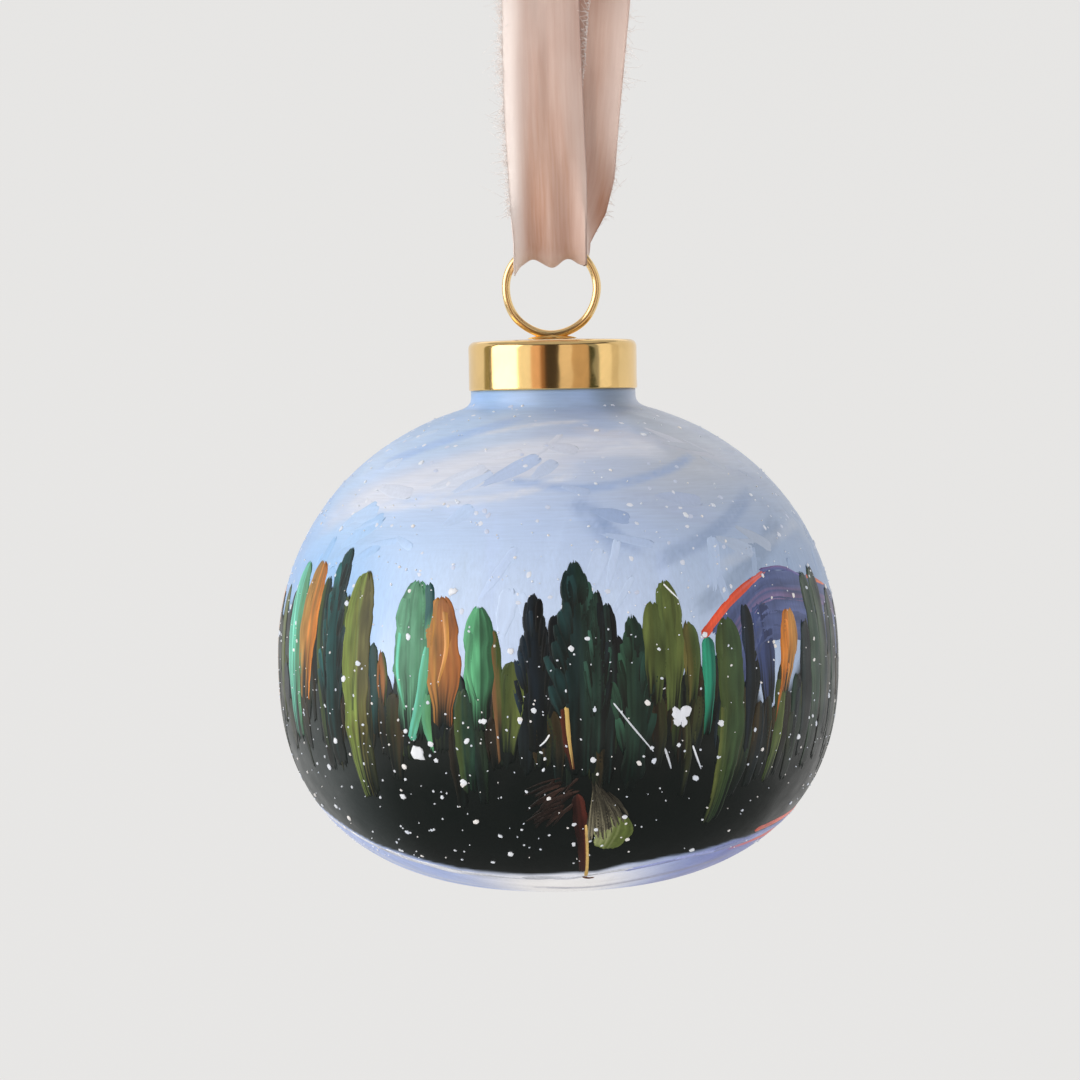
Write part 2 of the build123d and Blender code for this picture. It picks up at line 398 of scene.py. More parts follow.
def turn_between(a, b):
    """Degrees from b to a, from -180 to 180."""
    return (a - b + 180) % 360 - 180


# ---- The painting: colours on the ball ------------------------------------------------------------

PAINT_LEVEL = 1.3

SKY_LIFT = 1.10
# Sky colours as (azimuth, height, red, green, blue). They darken towards positive azimuths, away from the window
# light, and most at the right of the neck: partly the painting's own tones, partly painted shade.
SKY = (
    (-78, 14, 152, 182, 226), (-60, 12, 150, 192, 234), (-45, 12, 160, 194, 236), (-30, 14, 193, 212, 240),
    (-15, 10, 198, 214, 239), (-8, 6, 195, 211, 238), (0, 16, 188, 205, 235), (15, 12, 196, 211, 239),
    (25, 10, 190, 205, 231), (35, 12, 168, 187, 216), (50, 14, 156, 175, 204), (70, 12, 148, 168, 199),
    (45, 20, 170, 186, 213), (65, 20, 168, 182, 206), (20, 20, 172, 190, 223), (0, 22, 180, 199, 232),
    (-30, 20, 176, 198, 231), (-55, 20, 178, 203, 234), (-20, 31, 180, 201, 228), (20, 31, 162, 186, 225),
    (-40, 30, 178, 202, 231), (60, 30, 186, 196, 216), (0, 35, 140, 165, 200), (-45, 35, 146, 178, 220),
    # The right of the neck: partly painted shade.
    (45, 35, 108, 126, 150),
    (-20, 26, 212, 219, 236), (0, 28, 202, 208, 225), (-42, 24, 203, 214, 236), (15, 27, 194, 202, 221),
    (30, 24, 192, 195, 202),
    (48, 28, 197, 198, 202),
    (180, 12, 176, 199, 233), (140, 14, 162, 186, 221), (-140, 14, 178, 200, 236), (180, 28, 168, 191, 228),
    (110, 24, 168, 186, 214), (-110, 24, 165, 190, 230), (110, 10, 160, 180, 210), (-110, 10, 170, 195, 232),
)
NIGHT = srgb(20, 27, 25)
GROUND = (
    (-180, -25), (-130, -22), (-84, -19.5), (-54, -26), (-33, -28.2), (0, -28.9), (47, -25.9), (85, -22.7),
    (130, -21),
    (180, -25),
)
MASS_TOP = (
    (-180, 3), (-150, 5), (-120, 4), (-90, 3), (-77, 5), (-69, 8), (-61, 6), (-51, 9), (-45, 6), (-39, -3), (-34, -4),
    (-28, -2), (-22, -4), (-16, 0), (-11, -5), (-5, 3), (4, 7), (9, 4), (14, 1), (20, -1), (27, -3), (34, 0),
    (40, 1), (45, -8), (50, -6), (57, -2), (63, 5), (70, 4), (90, 3), (120, 5), (150, 4), (180, 3),
)


def along(table, azimuth):
    x, y = np.array(table, float).T
    return np.interp(azimuth, x, y)


def ground_line(azimuth):
    """The height of the snow's edge, with the table's corners rounded off."""
    x, y = np.array(GROUND[:-1], float).T
    return sum(np.interp(azimuth + step, x, y, period=360) for step in (-10, -5, 0, 5, 10)) / 5


class Canvas:
    """Colours at the ball's outer points, painted in dabs whose bristles leave streaks."""

    def __init__(self):
        self.rng = np.random.default_rng(11)
        self.azimuth = np.linspace(-180, 180, COLUMNS, endpoint=False)[None, :]
        self.arc = ARC[:, None]
        self.height = LINE[:, 1][:, None]
        self.points = on_ball(*np.broadcast_arrays(self.azimuth, self.arc, 0.0))
        self.colour = self.sky_ground()
        self.sweep = np.broadcast_to(smooth(12, 20, self.height), self.points.shape[:2]).copy()

    def sky_ground(self):
        total, weight = 0, 0
        for azimuth, height, *rgb in SKY:
            near = np.exp(-((turn_between(
                self.azimuth, azimuth,
            ) / 16) ** 2) - ((self.height - height) / 5) ** 2) + 1e-9
            total = total + near[..., None] * srgb(*rgb) * SKY_LIFT
            weight = weight + near
        return total / weight[..., None]

    def dab(self, azimuth, height, length, width, angle, colour, strength=0.6, bristle=0.6):
        arc = arc_at(height)
        x = np.radians(turn_between(self.azimuth, azimuth)) * radius_at(arc)
        y = self.arc - arc
        c, s = math.cos(math.radians(angle)), math.sin(math.radians(angle))
        u, v = x * c + y * s, y * c - x * s
        grid = np.linspace(-1, 1, 24) * width
        u = u + np.interp(v, grid, self.rng.normal(0, 0.08 * length, 24))
        load = np.interp(v, grid, self.rng.uniform(1 - bristle, 1, 24))
        mask = np.exp(-((2 * u / length) ** 4) - (2 * v / width) ** 4) * load * strength
        self.colour = mix(self.colour, colour, np.clip(mask, 0, 1))

    def sweep_along(self, places, width, colour, strength=0.5, bristle=0.7):
        """A long brush mark through (azimuth, height) places, laid as overlapping dabs."""
        line = through(places, 4 * len(places))
        for a, b in zip(line[:-1], line[1:]):
            mid = (a + b) / 2
            run = math.radians(b[0] - a[0]) * radius_at(arc_at(mid[1]))
            rise = arc_at(b[1]) - arc_at(a[1])
            self.dab(
                *mid, 2.2 * math.hypot(run, rise), width, math.degrees(math.atan2(rise, run)), colour,
                strength, bristle,
            )


WHITE, LILAC, BLUE = (228, 230, 240), (208, 214, 232), (140, 172, 222)
SWEEPS = (
    # (azimuth, height) places, width, colour, strength, bristle
    (((-70, 20), (-50, 23.5), (-28, 26.5), (-5, 27.5)), 6.4, LILAC, 0.55, 0.5),
    (((-58, 21.5), (-36, 25), (-12, 28), (14, 28.8), (34, 28.5)), 5.0, WHITE, 0.66, 0.5),
    (((-34, 23), (-16, 25.5), (4, 26.5)), 3.4, WHITE, 0.5, 0.6),
    (((-48, 21), (-30, 21.8), (-12, 22.6), (4, 25)), 1.3, WHITE, 0.55),
    (((-20, 25.5), (0, 26.3), (16, 29.3), (30, 31)), 2.2, LILAC, 0.5),
    (((-14, 24.6), (8, 23.4), (28, 25), (44, 27)), 1.5, BLUE, 0.4),
    (((10, 30.8), (34, 29.5), (58, 27)), 2.4, (206, 208, 222), 0.5),
    (((-30, 30.5), (-8, 31.6), (12, 32)), 1.2, WHITE, 0.45),
    (((-60, 27), (-40, 30), (-18, 32.4)), 2.6, (150, 184, 236), 0.5),
    (((30, 8), (44, 12.5), (60, 18)), 3.0, (138, 155, 182), 0.5),
    (((22, 14), (38, 17.5), (56, 22)), 2.2, (146, 166, 202), 0.5),
    (((36, 13), (52, 15.5), (74, 18)), 1.6, (196, 204, 220), 0.4),
    (((5, 22), (9, 19), (14, 15.5)), 3.4, (126, 152, 198), 0.30, 0.95),
    (((9, 21), (12, 18), (18, 15)), 1.8, (116, 142, 190), 0.25, 0.95),
    (((-150, 22), (-120, 27), (-95, 25)), 4.5, WHITE, 0.5),
    (((100, 20), (130, 26), (165, 27)), 5.0, WHITE, 0.5),
    (((150, 20), (175, 23), (205, 21)), 3.0, LILAC, 0.5),
)


def paint_sky(canvas):
    rng = canvas.rng
    for _ in range(260):
        azimuth, height = rng.uniform(-180, 180), rng.uniform(-4, 35)
        row = int(np.argmin(abs(LINE[:, 1] - height)))
        column = int((azimuth + 180) / 360 * COLUMNS) % COLUMNS
        shade = canvas.colour[row, column] * rng.uniform(0.84, 1.17) * (1, 1, rng.uniform(0.96, 1.06))
        upright = height < 15
        angle = rng.normal(86, 12) if upright else rng.normal(14 if azimuth < 0 else -12, 12)
        canvas.dab(azimuth, height, rng.uniform(5, 14), rng.uniform(1.4, 3.6), angle, shade, 0.55, 0.8)
    for places, width, colour, *how in SWEEPS:
        canvas.sweep_along(places, width, srgb(*colour), *how)


def paint_forest_floor(canvas):
    """The dark of the wood from the snow up to the foot of the tree tops, and the snow below it."""
    wobble = layered_noise(canvas.points / 4.5, 31) * 1.3
    mass_top = along(MASS_TOP, canvas.azimuth)
    ground = ground_line(canvas.azimuth) + 0.35 * wobble
    level = canvas.height - PAINT_LEVEL
    wood = smooth(1.2, -1.4, level - mass_top - wobble) * smooth(-0.35, 0.35, level - ground)
    tint = mix(NIGHT, srgb(30, 44, 36), smooth(-6, 6, level + 4 * wobble))
    # Greyer over the wood on the left: a painted reflection of the window's sheen on the varnish.
    tint = mix(tint, srgb(58, 66, 66), 0.8 * smooth(-34, -62, canvas.azimuth) * smooth(-110, -80, canvas.azimuth))
    canvas.colour = mix(canvas.colour, tint, wood)
    a = canvas.azimuth
    violet = mix(srgb(160, 176, 220), srgb(118, 126, 184), smooth(20, 60, a) * smooth(150, 110, a))
    snow = 1.25 * mix(violet, srgb(238, 236, 236), smooth(46, 10, abs(a)) * smooth(-24, -29, canvas.height))
    streaks = 1 + 0.16 * layered_noise(canvas.points * (0.10, 0.9, 0.9), 37)
    canvas.colour = mix(canvas.colour, snow * streaks[..., None], smooth(0.35, -0.35, level - ground))
    canvas.sweep_along(((56, -24.8), (68, -24.2), (82, -23.8)), 1.6, srgb(236, 96, 70), 0.9, 0.5)
    canvas.sweep_along(((-10, -29.8), (14, -29.9), (40, -28.2), (60, -26.6)), 1.4, srgb(150, 150, 176), 0.6)
    canvas.sweep_along(((-80, -22), (-58, -28), (-36, -30)), 1.6, srgb(206, 214, 240), 0.6)
    canvas.sweep_along(((120, -24), (150, -27), (185, -28)), 2.2, srgb(206, 214, 240), 0.6)


# ---- The painting: raised brush marks ---------------------------------------------------------------

LANE = 0.27
LAYER_STEP = 0.013
LIFT = 0.022
SINK = 0.03


class Relief:
    """Raised brush marks on the ball, each a thin closed shell, gathered into one mesh."""

    def __init__(self, seed):
        self.rng = np.random.default_rng(seed)
        self.points, self.quads, self.triangles, self.colours, self.count = [], [], [], [], 0

    def shell(self, azimuth, arc, lift, colour):
        """Rows run along the mark and columns across it, to its right. The borders lie under the surface."""
        rows, lanes = azimuth.shape
        self.points.append(on_ball(azimuth, arc, lift).reshape(-1, 3))
        self.colours.append(colour.reshape(-1, 3))
        left = self.count + np.arange(rows) * lanes
        right = left + lanes - 1
        self.quads.append(self.count + grid_quads(rows, lanes, False)[:, ::-1])
        self.quads.append(np.stack([left[:-1], right[:-1], right[1:], left[1:]], 1))
        fan = np.arange(1, lanes - 1)
        first, last = self.count, left[-1]
        self.triangles.append(np.stack([np.full_like(fan, first), first + fan, first + fan + 1], 1))
        self.triangles.append(np.stack([np.full_like(fan, last), last + fan + 1, last + fan], 1))
        self.count += rows * lanes

    def mark(
        self, places, width, left, right=None, tail=None, layer=1, end=0.55, ragged=0.9, fade=0.6,
        thick=0.022, calm=1.0, tip=0.62,
    ):
        """One pull of a loaded brush through (azimuth, height) places. left and right are the colours at its two
        edges, tail the one it fades to, and end the share of its width left where it lifts off."""
        rng = self.rng
        left = srgb(*left)
        right = left if right is None else srgb(*right)
        tail = 0.5 * (left + right) if tail is None else srgb(*tail)
        spine = np.array(places, float)
        spine[:, 1] = arc_at(spine[:, 1] + PAINT_LEVEL)
        run = np.radians(np.diff(spine[:, 0])) * radius_at(spine[:-1, 1])
        length = np.hypot(run, np.diff(spine[:, 1])).sum()
        rows, lanes = max(8, int(length / 0.5)), max(5, int(width / LANE) + 1)
        spine = through(spine, rows)
        radius = radius_at(spine[:, 1])
        step_x = np.radians(np.gradient(spine[:, 0])) * radius
        step_y = np.gradient(spine[:, 1])
        step = np.hypot(step_x, step_y)
        tx, ty = (step_x / step)[:, None], (step_y / step)[:, None]
        t = np.linspace(0, 1, rows)[:, None]
        v = np.linspace(-1, 1, lanes)[None, :]
        wave = noise3(
            np.stack([t[:, 0] * length / 3, np.full(rows, rng.uniform(0, 99)), np.zeros(rows)], -1), 5,
        )[:, None]
        nibble = noise3(
            np.stack([t[:, 0] * length / 0.9, np.full(rows, rng.uniform(0, 99)), np.zeros(rows)], -1), 6,
        )[:, None]
        press = np.clip(t * length / (tip * width), 0, 1)
        half = width / 2 * np.sqrt(1 - (1 - press) ** 2 + 0.02) * (1 - (1 - end) * smooth(
            0.45, 1, t,
        )) * (1 + 0.13 * wave + 0.07 * nibble)
        rough = rng.normal(0, 0.35, (1, lanes)) * min(ragged, 0.12 * length)
        pull = rough * (smooth(0.2, 0, t) * 0.5 + smooth(0.7, 1, t)) + 0.25 * end * width * v**2 * smooth(0.85, 1, t)
        side = v * half
        azimuth = spine[:, :1] + np.degrees((-ty * side - tx * pull) / radius[:, None])
        arc = spine[:, 1:] + tx * side - ty * pull
        ridges = rng.normal(0, 0.20, (1, lanes)) + 0.4 * noise3(self.cloth(t * length / 2.5, v * width / 0.5), 9)
        lift = LIFT + layer * LAYER_STEP + rng.uniform(
            0, 0.005,
        ) + thick * (0.3 + 0.35 * ridges) * (1 - 0.7 * smooth(0.6, 1, t))
        lift = np.broadcast_to(lift, azimuth.shape).copy()
        lift[0] = lift[-1] = -SINK
        lift[:, 0] = lift[:, -1] = -SINK
        across = np.clip((v + 1) / 2 + rng.normal(0, 0.13, (1, lanes)) + 0.12 * wave, 0, 1)
        base = mix(left, right, smooth(0.25, 0.75, across * np.ones_like(t)))
        gone = smooth(fade, 1.0, t + rng.normal(0, 0.13, (1, lanes)))
        base = mix(base, tail, gone)
        streak = 1 + 0.08 * rng.normal(0, 1, (1, lanes)) + 0.20 * noise3(
            self.cloth(t * length / 3, v * width / 0.6), 13,
        )
        streak = streak + 0.34 * noise3(self.cloth(t * length / 3.2, v * width / 2.2), 17)
        self.shell(azimuth, arc, lift, np.clip(base * (1 + calm * (streak[..., None] - 1)), 0.001, 1))

    def cloth(self, a, b):
        a, b = np.broadcast_arrays(a, b)
        return np.stack([a, b, np.full_like(a, self.rng.uniform(0, 50))], -1)

    def speck(self, azimuth, height, radius, colour, stretch=1.0, angle=0.0, lift=0.13):
        """A dried drop of thrown paint: a low closed dome with an uneven outline."""
        rng = self.rng
        count = 7 if radius < 0.25 else 14
        rings = (1.0, 0.72) if radius < 0.25 else (1.0, 0.86, 0.5)
        height = height + PAINT_LEVEL
        turn = np.linspace(0, 2 * math.pi, count, endpoint=False)
        edge = radius * (1 + rng.normal(0, 0.10 if radius < 0.5 else 0.17, count))
        arc = arc_at(height)
        a, b = edge * np.cos(turn) * stretch, edge * np.sin(turn) / stretch**0.5
        c, s = math.cos(math.radians(angle)), math.sin(math.radians(angle))
        x, y = a * c - b * s, a * s + b * c
        first = self.count
        for k, share in enumerate(rings):
            rise = -SINK if k == 0 else lift * (0.75 if k == 1 else 1.0)
            ring = on_ball(azimuth + np.degrees(share * x / radius_at(arc)), arc + share * y, np.full(count, rise))
            self.points.append(ring)
        self.points.append(on_ball(
            np.array([azimuth, azimuth]), np.array([arc, arc]), np.array([lift * 1.05, -2 * SINK]),
        ))
        total = len(rings) * count
        self.colours.append(np.tile(srgb(*colour), (total + 2, 1)))
        i = np.arange(count)
        j = (i + 1) % count
        for k in range(len(rings) - 1):
            low, high = first + k * count, first + (k + 1) * count
            self.quads.append(np.stack([low + i, low + j, high + j, high + i], 1))
        high = first + total - count
        self.triangles.append(np.stack([high + i, high + j, np.full(count, first + total)], 1))
        self.triangles.append(np.stack([first + j, first + i, np.full(count, first + total + 1)], 1))
        self.count += total + 2

    def piece(self, name):
        return make_piece(
            name, np.vstack(self.points), np.vstack(self.quads), np.vstack(self.triangles), np.vstack(self.colours)
        )


# ---- The wood, tree by tree -------------------------------------------------------------------------

MINT, SEA, TEAL, DEEP = (104, 200, 172), (84, 150, 112), (28, 70, 70), (20, 40, 42)
ORANGE, OCHRE, RUST, CREAM = (204, 124, 44), (190, 132, 62), (92, 40, 24), (206, 168, 92)
OLIVE, MOSS, BOTTLE, INK = (92, 104, 50), (66, 82, 40), (34, 62, 48), (18, 26, 30)
NIGHT_TAIL = (20, 28, 26)


def upright(relief, azimuth, top, bottom, width, left, right, lean=0.0, **how):
    """A tree as one downward pull of the brush, its tip leaning a little."""
    middle = (top + bottom) / 2
    sway = relief.rng.uniform(-0.16, 0.2) * width
    places = ((azimuth + sway, top), (azimuth + lean / 2 + 0.4, middle), (azimuth + lean, bottom))
    relief.mark(places, width, left, right, NIGHT_TAIL, **{"tip": relief.rng.uniform(0.9, 1.7), **how})
    for side in (-1, 1):
        drop = relief.rng.uniform(0.5, 2.2)
        edge = azimuth + sway + side * math.degrees(0.22 * width / BALL_R)
        shade = np.array(left if side < 0 else right) * relief.rng.uniform(0.8, 1.15)
        places = ((edge, top - drop), (edge + 0.3 * side, top - drop - 3.0), (edge, top - drop - 5.5))
        layer = how.get("layer", 1) + 0.25
        relief.mark(places, 0.36 * width, shade, None, shade, layer=layer, fade=0.9, end=0.2, tip=1.6, thick=0.012)


def fir(relief, azimuth, top, bottom, width, left, right, layer):
    """A dark fir: a middle pull and short dabs that lean out on both sides."""
    rng = relief.rng
    upright(relief, azimuth, top, bottom, 0.56 * width, left, right, layer=layer, end=0.9, tip=2.6)
    turn = math.degrees(1 / BALL_R)
    for k in range(10):
        height = top - 1.2 - k * (top - bottom) * 0.055
        for side in (-1, 1):
            reach = min(0.10 + 0.06 * k, 0.46) * width * rng.uniform(0.75, 1.2)
            rise = rng.uniform(-0.8, 0.8)
            shade = left if side < 0 else right
            start = (azimuth + side * reach * turn, height + rise)
            knee = (azimuth + side * 0.8 * reach * turn, height + rise - 2.2)
            foot = (azimuth + side * 0.55 * reach * turn, height + rise - rng.uniform(4, 6))
            glow = rng.uniform(0.8, 1.5)
            relief.mark(
                (start, knee, foot), rng.uniform(0.17, 0.28) * width, glow * np.array(shade), None,
                NIGHT_TAIL, layer=layer + 0.4, fade=0.3, end=0.5, tip=1.7,
            )


def back_row(relief):
    """Dim trees behind, so that the tops are ragged all round the ball."""
    rng = relief.rng
    for azimuth in np.arange(-178, 182, 4.3):
        a = azimuth + rng.uniform(-1.2, 1.2)
        top = along(MASS_TOP, a) + rng.uniform(0.3, 2.6)
        shade = (INK, DEEP, BOTTLE, MOSS)[rng.integers(4)]
        upright(relief, a, top, top - rng.uniform(8, 13), rng.uniform(2.2, 3.8), shade, INK, layer=1, fade=0.3)


def mountain(relief):
    blue, slate, plum = (92, 104, 150), (78, 90, 132), (122, 106, 146)
    for k, colour in enumerate((slate, plum, blue, slate, slate)):
        drop = 1.2 + 1.7 * k
        places = ((32 + 1.8 * k, 4.2 - drop), (45, 10.2 - drop), (57, 10.5 - drop), (74, 8.6 - drop), (88, 6 - drop))
        relief.mark(places, 2.6, colour, slate, colour, layer=0.6, end=0.9)
    relief.mark(((44.5, 7), (45.2, 1), (46, -7)), 4.0, (66, 80, 128), (52, 62, 100), NIGHT_TAIL, layer=0.9)
    relief.mark(
        ((29, 2.6), (36, 6.6), (43, 9.2), (49, 10.7)), 1.5, (240, 92, 60), (236, 84, 48), (214, 120, 120),
        layer=1.2,
    )
    relief.mark(((47, 10.8), (55, 10.9), (63, 9.4)), 0.8, (96, 112, 168), (120, 96, 150), layer=1.3)
    relief.mark(((64, 9.6), (70, 8.8), (76, 8.0)), 0.9, (224, 120, 84), (206, 110, 96), layer=1.3)


def undergrowth(relief):
    """Half-lost greens and browns pulled down into the dark."""
    rng = relief.rng
    shades = ((34, 50, 36), (48, 56, 32), (26, 42, 40), (58, 62, 36), (40, 34, 24), (24, 36, 42), (60, 50, 30))
    for azimuth in np.arange(-178, 180, 2.3):
        top = rng.uniform(-8, 1)
        a = azimuth + rng.uniform(-1, 1)
        left, right = shades[rng.integers(7)], shades[rng.integers(7)]
        upright(
            relief, a, top, top - rng.uniform(7, 12), rng.uniform(1.4, 3.4), left, right,
            rng.uniform(-1.5, 1.5), layer=1.3 + rng.uniform(0, 0.5), fade=0.3,
        )


FRONT_TREES = (
    # azimuth, top, bottom, width, left colour, right colour, lean, layer
    (-84, 8.5, -10, 3.4, BOTTLE, INK, 1, 2), (-77, 9.5, -9, 2.6, MOSS, OLIVE, 1, 2.3),
    (-68, 12.7, -11, 5.2, MINT, SEA, 1, 3),
    (-60.5, 12.9, -6, 5.2, (168, 124, 60), (206, 126, 52), -2, 3.4),
    (-56, 11.0, -12, 2.4, MOSS, DEEP, 1, 2.6), (-44, 11.8, -18, 5.0, (122, 140, 66), (96, 92, 48), -1.5, 3),
    (-39.5, 2.6, -10, 1.8, TEAL, BOTTLE, 0, 2.4), (-37, 1.6, -6, 1.7, (150, 96, 50), MOSS, 0, 2.8),
    (-29.5, 10.6, -9.8, 6.8, (92, 150, 118), (66, 122, 90), -1, 3.2),
    (-23.6, 8.6, -8.6, 5.0, OCHRE, (160, 96, 48), 0, 3.8),
    (-16, 7.3, -9, 4.4, (92, 172, 122), (44, 92, 62), 0, 3.2), (-13, 4.4, -13, 1.8, (120, 84, 50), MOSS, 1, 2.8),
    (-9.6, 0.4, -12, 3.6, MOSS, OLIVE, -1, 2.6), (-19.5, -3.0, -17, 3.2, MOSS, BOTTLE, 0, 3.0),
    (9.5, 7.6, -16, 2.4, (34, 58, 54), INK, 0, 2.4),
    (18.6, 7.5, -6, 3.4, OLIVE, (78, 92, 46), 0, 3.0), (22.4, 10.2, -7, 3.4, (84, 98, 48), OLIVE, 0, 3.3),
    (26.6, 4.8, -6, 2.4, (98, 92, 46), MOSS, 0, 3.6), (30.2, 2.9, -10, 2.2, (40, 150, 116), (28, 108, 88), 0, 4.2),
    (35.2, 5.2, -22, 4.4, MOSS, (56, 78, 46), 1, 3.8), (40.4, 6.8, -13, 2.3, (26, 38, 52), INK, 0, 3.2),
    (53.4, 5.9, -5.5, 3.9, (214, 128, 44), OCHRE, -3, 4.2), (49.6, -3, -17, 2.4, MOSS, OLIVE, -1, 3.0),
    (59, 4.2, -14, 3.2, DEEP, INK, 0, 2.8), (63, 10.2, -16, 3.6, (58, 78, 62), BOTTLE, 0, 3.2),
    (67.5, 10.8, -15, 3.4, (66, 84, 66), DEEP, 0, 3.5),
    (75, 8.0, -14, 3.6, BOTTLE, INK, 0, 3.0), (83, 6.0, -14, 3.6, DEEP, INK, 0, 3.2),
)


def front_wood(relief):
    for azimuth, top, bottom, width, left, right, lean, layer in FRONT_TREES:
        upright(relief, azimuth, top, bottom, width, left, right, lean, layer=layer)
    fir(relief, -51.5, 14.8, -14, 6.0, TEAL, DEEP, 3.2)
    fir(relief, -4.6, 8.9, -12, 5.4, (22, 36, 46), INK, 2.2)
    fir(relief, 14.6, 5.9, -16, 6.4, BOTTLE, (26, 52, 44), 2.4)
    fir(relief, 3.9, 12.8, -15, 8.2, (24, 46, 46), (30, 54, 46), 3.0)
    fir(relief, 7.6, 9.2, -12, 3.6, (34, 60, 50), INK, 3.4)


TOUCHES = (
    # (azimuth, height) places, width, left colour, right colour, tail colour, how it is laid
    (
        ((-26.4, 2.6), (-28.2, -4.5), (-31.0, -10.2)), 1.7, MINT, SEA, MINT,
        dict(layer=4.4, end=0.95, tip=2.4, ragged=0.3),
    ),
    (((-26.5, -3.6), (-27.1, -7.6), (-26.2, -11.6)), 1.7, SEA, (86, 146, 96), SEA, dict(layer=4.2, end=0.3, tip=1.6)),
    (((-27.2, 10.4), (-26.4, 7), (-26.9, 3)), 1.7, (38, 86, 84), TEAL, SEA, dict(layer=4.1, end=0.4, tip=0.8)),
    (((-32.6, 4.5), (-33.2, -1), (-31.8, -6)), 1.0, MINT, SEA, SEA, dict(layer=4.2)),
    (((-23, 7.2), (-22.3, 2), (-24.4, -3)), 1.2, (226, 160, 96), OCHRE, OCHRE, dict(layer=4.8)),
    (((-17.2, 4.6), (-17.8, -1), (-16.2, -5)), 1.2, (96, 176, 120), SEA, BOTTLE, dict(layer=4.0)),
    (((-69.6, 10), (-68.2, 3), (-69, -5)), 1.1, (150, 226, 204), MINT, SEA, dict(layer=4.0)),
    (((52.6, -1), (49.6, -5), (48.2, -9.4)), 1.0, (206, 112, 34), ORANGE, RUST, dict(layer=4.4, end=0.2)),
    (((-44.6, 9.6), (-43.9, 3), (-45.4, -7)), 1.2, (122, 128, 62), OLIVE, MOSS, dict(layer=3.8)),
    (((34.0, -6), (34.4, -14), (35.2, -22)), 1.5, (104, 112, 56), MOSS, NIGHT_TAIL, dict(layer=4.6)),
    (
        ((12.6, -20.0), (12.0, -22.6), (10.6, -25.0)), 4.8, (140, 146, 98), (98, 112, 52), (104, 118, 58),
        dict(layer=4, end=0.7, fade=0.8, ragged=0.2),
    ),
    (((0.6, -5.6), (1.3, -10), (2.4, -14.6)), 1.5, RUST, (48, 28, 22), NIGHT_TAIL, dict(layer=4.2)),
    (((1.2, -5.4), (1.6, -9.6), (2.6, -14.2)), 0.8, (226, 190, 112), CREAM, RUST, dict(layer=5.0, ragged=0.1)),
    (
        ((3.2, -17.0), (4.6, -22.6), (6.0, -28.4)), 2.0, (48, 28, 24), (88, 40, 30), (62, 32, 26),
        dict(layer=4.2, end=0.45, tip=1.4, ragged=0.4),
    ),
    (
        ((5.3, -21.0), (6.2, -25), (7.6, -29.2)), 0.62, (176, 136, 76), (220, 184, 110), CREAM,
        dict(layer=5.0, ragged=0.1, end=0.9, tip=2.2),
    ),
    (((6.0, -29.0), (8.4, -29.4), (10.6, -29.3)), 0.7, (150, 120, 70), RUST, dict(layer=5.0)),
)


def touches(relief):
    """Second-colour touches laid into the wet trees."""
    for *paint, how in TOUCHES:
        relief.mark(*paint, **how)
    scrubbed(relief)


def scrubbed(relief):
    """Where a nearly dry brush was turned at the foot of the trunk: brown scrubs and a pale fan over the shrub."""
    rng = relief.rng
    for _ in range(34):
        a, h = rng.uniform(-1.5, 4.5), rng.uniform(-19.5, -14.6)
        reach, drop = rng.uniform(3, 8), rng.uniform(1.0, 3.4)
        glow = rng.uniform(0.7, 1.3)
        places = ((a, h), (a - 0.55 * reach, h - 0.45 * drop), (a - reach, h - drop))
        relief.mark(
            places, rng.uniform(0.25, 0.7), (54 * glow, 38 * glow, 32 * glow), None, (32, 28, 25), layer=2.2,
            fade=0.15, thick=0.008,
        )
    for _ in range(90):
        share = rng.uniform(0, 1)
        foot = np.array((6.4 + 8.2 * share, -22.9 + 2.4 * share**2)) + rng.normal(0, (0.5, 0.6))
        apex = np.array((6.7, -15.4)) + rng.normal(0, (0.35, 0.5))
        top = foot + (apex - foot) * rng.uniform(0.45, 1.0)
        middle = (foot + top) / 2 + (0.5 * (share - 0.3), 0)
        glow = rng.uniform(0.45, 1.15) * (1 - 0.45 * share)
        shade = (154 * glow, 146 * glow, 118 * glow)
        relief.mark(
            (foot, middle, top), rng.uniform(0.2, 0.5), shade, None, (58, 54, 44), layer=4.5, fade=0.1,
            end=0.3, tip=3.0, thick=0.008,
        )


def far_side(relief):
    """The wood carried on round the back in the same hand."""
    rng = relief.rng
    palette = (
        (SEA, MINT), (OCHRE, ORANGE), (OLIVE, MOSS), (BOTTLE, DEEP), (TEAL, DEEP), (MOSS, BOTTLE),
        (DEEP, INK), (OLIVE, BOTTLE),
    )
    for azimuth in np.arange(92, 272, 5.1):
        a = azimuth + rng.uniform(-1.2, 1.2)
        top = rng.uniform(5.0, 12.5)
        left, right = palette[rng.integers(len(palette))]
        if rng.uniform() < 0.22:
            fir(relief, a, top, -14, rng.uniform(5, 7.5), TEAL, DEEP, 2.4)
        else:
            upright(
                relief, a, top, -rng.uniform(6, 18), rng.uniform(2.6, 5), left, right, rng.uniform(-1, 1),
                layer=rng.uniform(2, 4),
            )


def snow_line(relief):
    """Pale sweeps along the foot of the wood."""
    rng = relief.rng
    for azimuth in np.arange(-176, 184, 13):
        a = azimuth + rng.uniform(-3, 3)
        reach = rng.uniform(7, 13)
        places = [(b, ground_line(b) - rng.uniform(0.5, 0.8)) for b in (
            a - reach, a - reach / 3, a + reach / 3, a + reach,
        )]
        violet = 26 < turn_between(a, 0) < 90
        shade = np.array((148, 156, 202) if violet else (220, 222, 232)) * rng.uniform(0.96, 1.06)
        relief.mark(places, rng.uniform(0.9, 1.6), shade, shade * 1.06, shade, layer=1.4, end=0.5)
    relief.mark(((58, -24.2), (68, -23.4), (78, -22.7), (86, -22.3)), 1.3, (238, 98, 70), (226, 120, 110), layer=2.2)


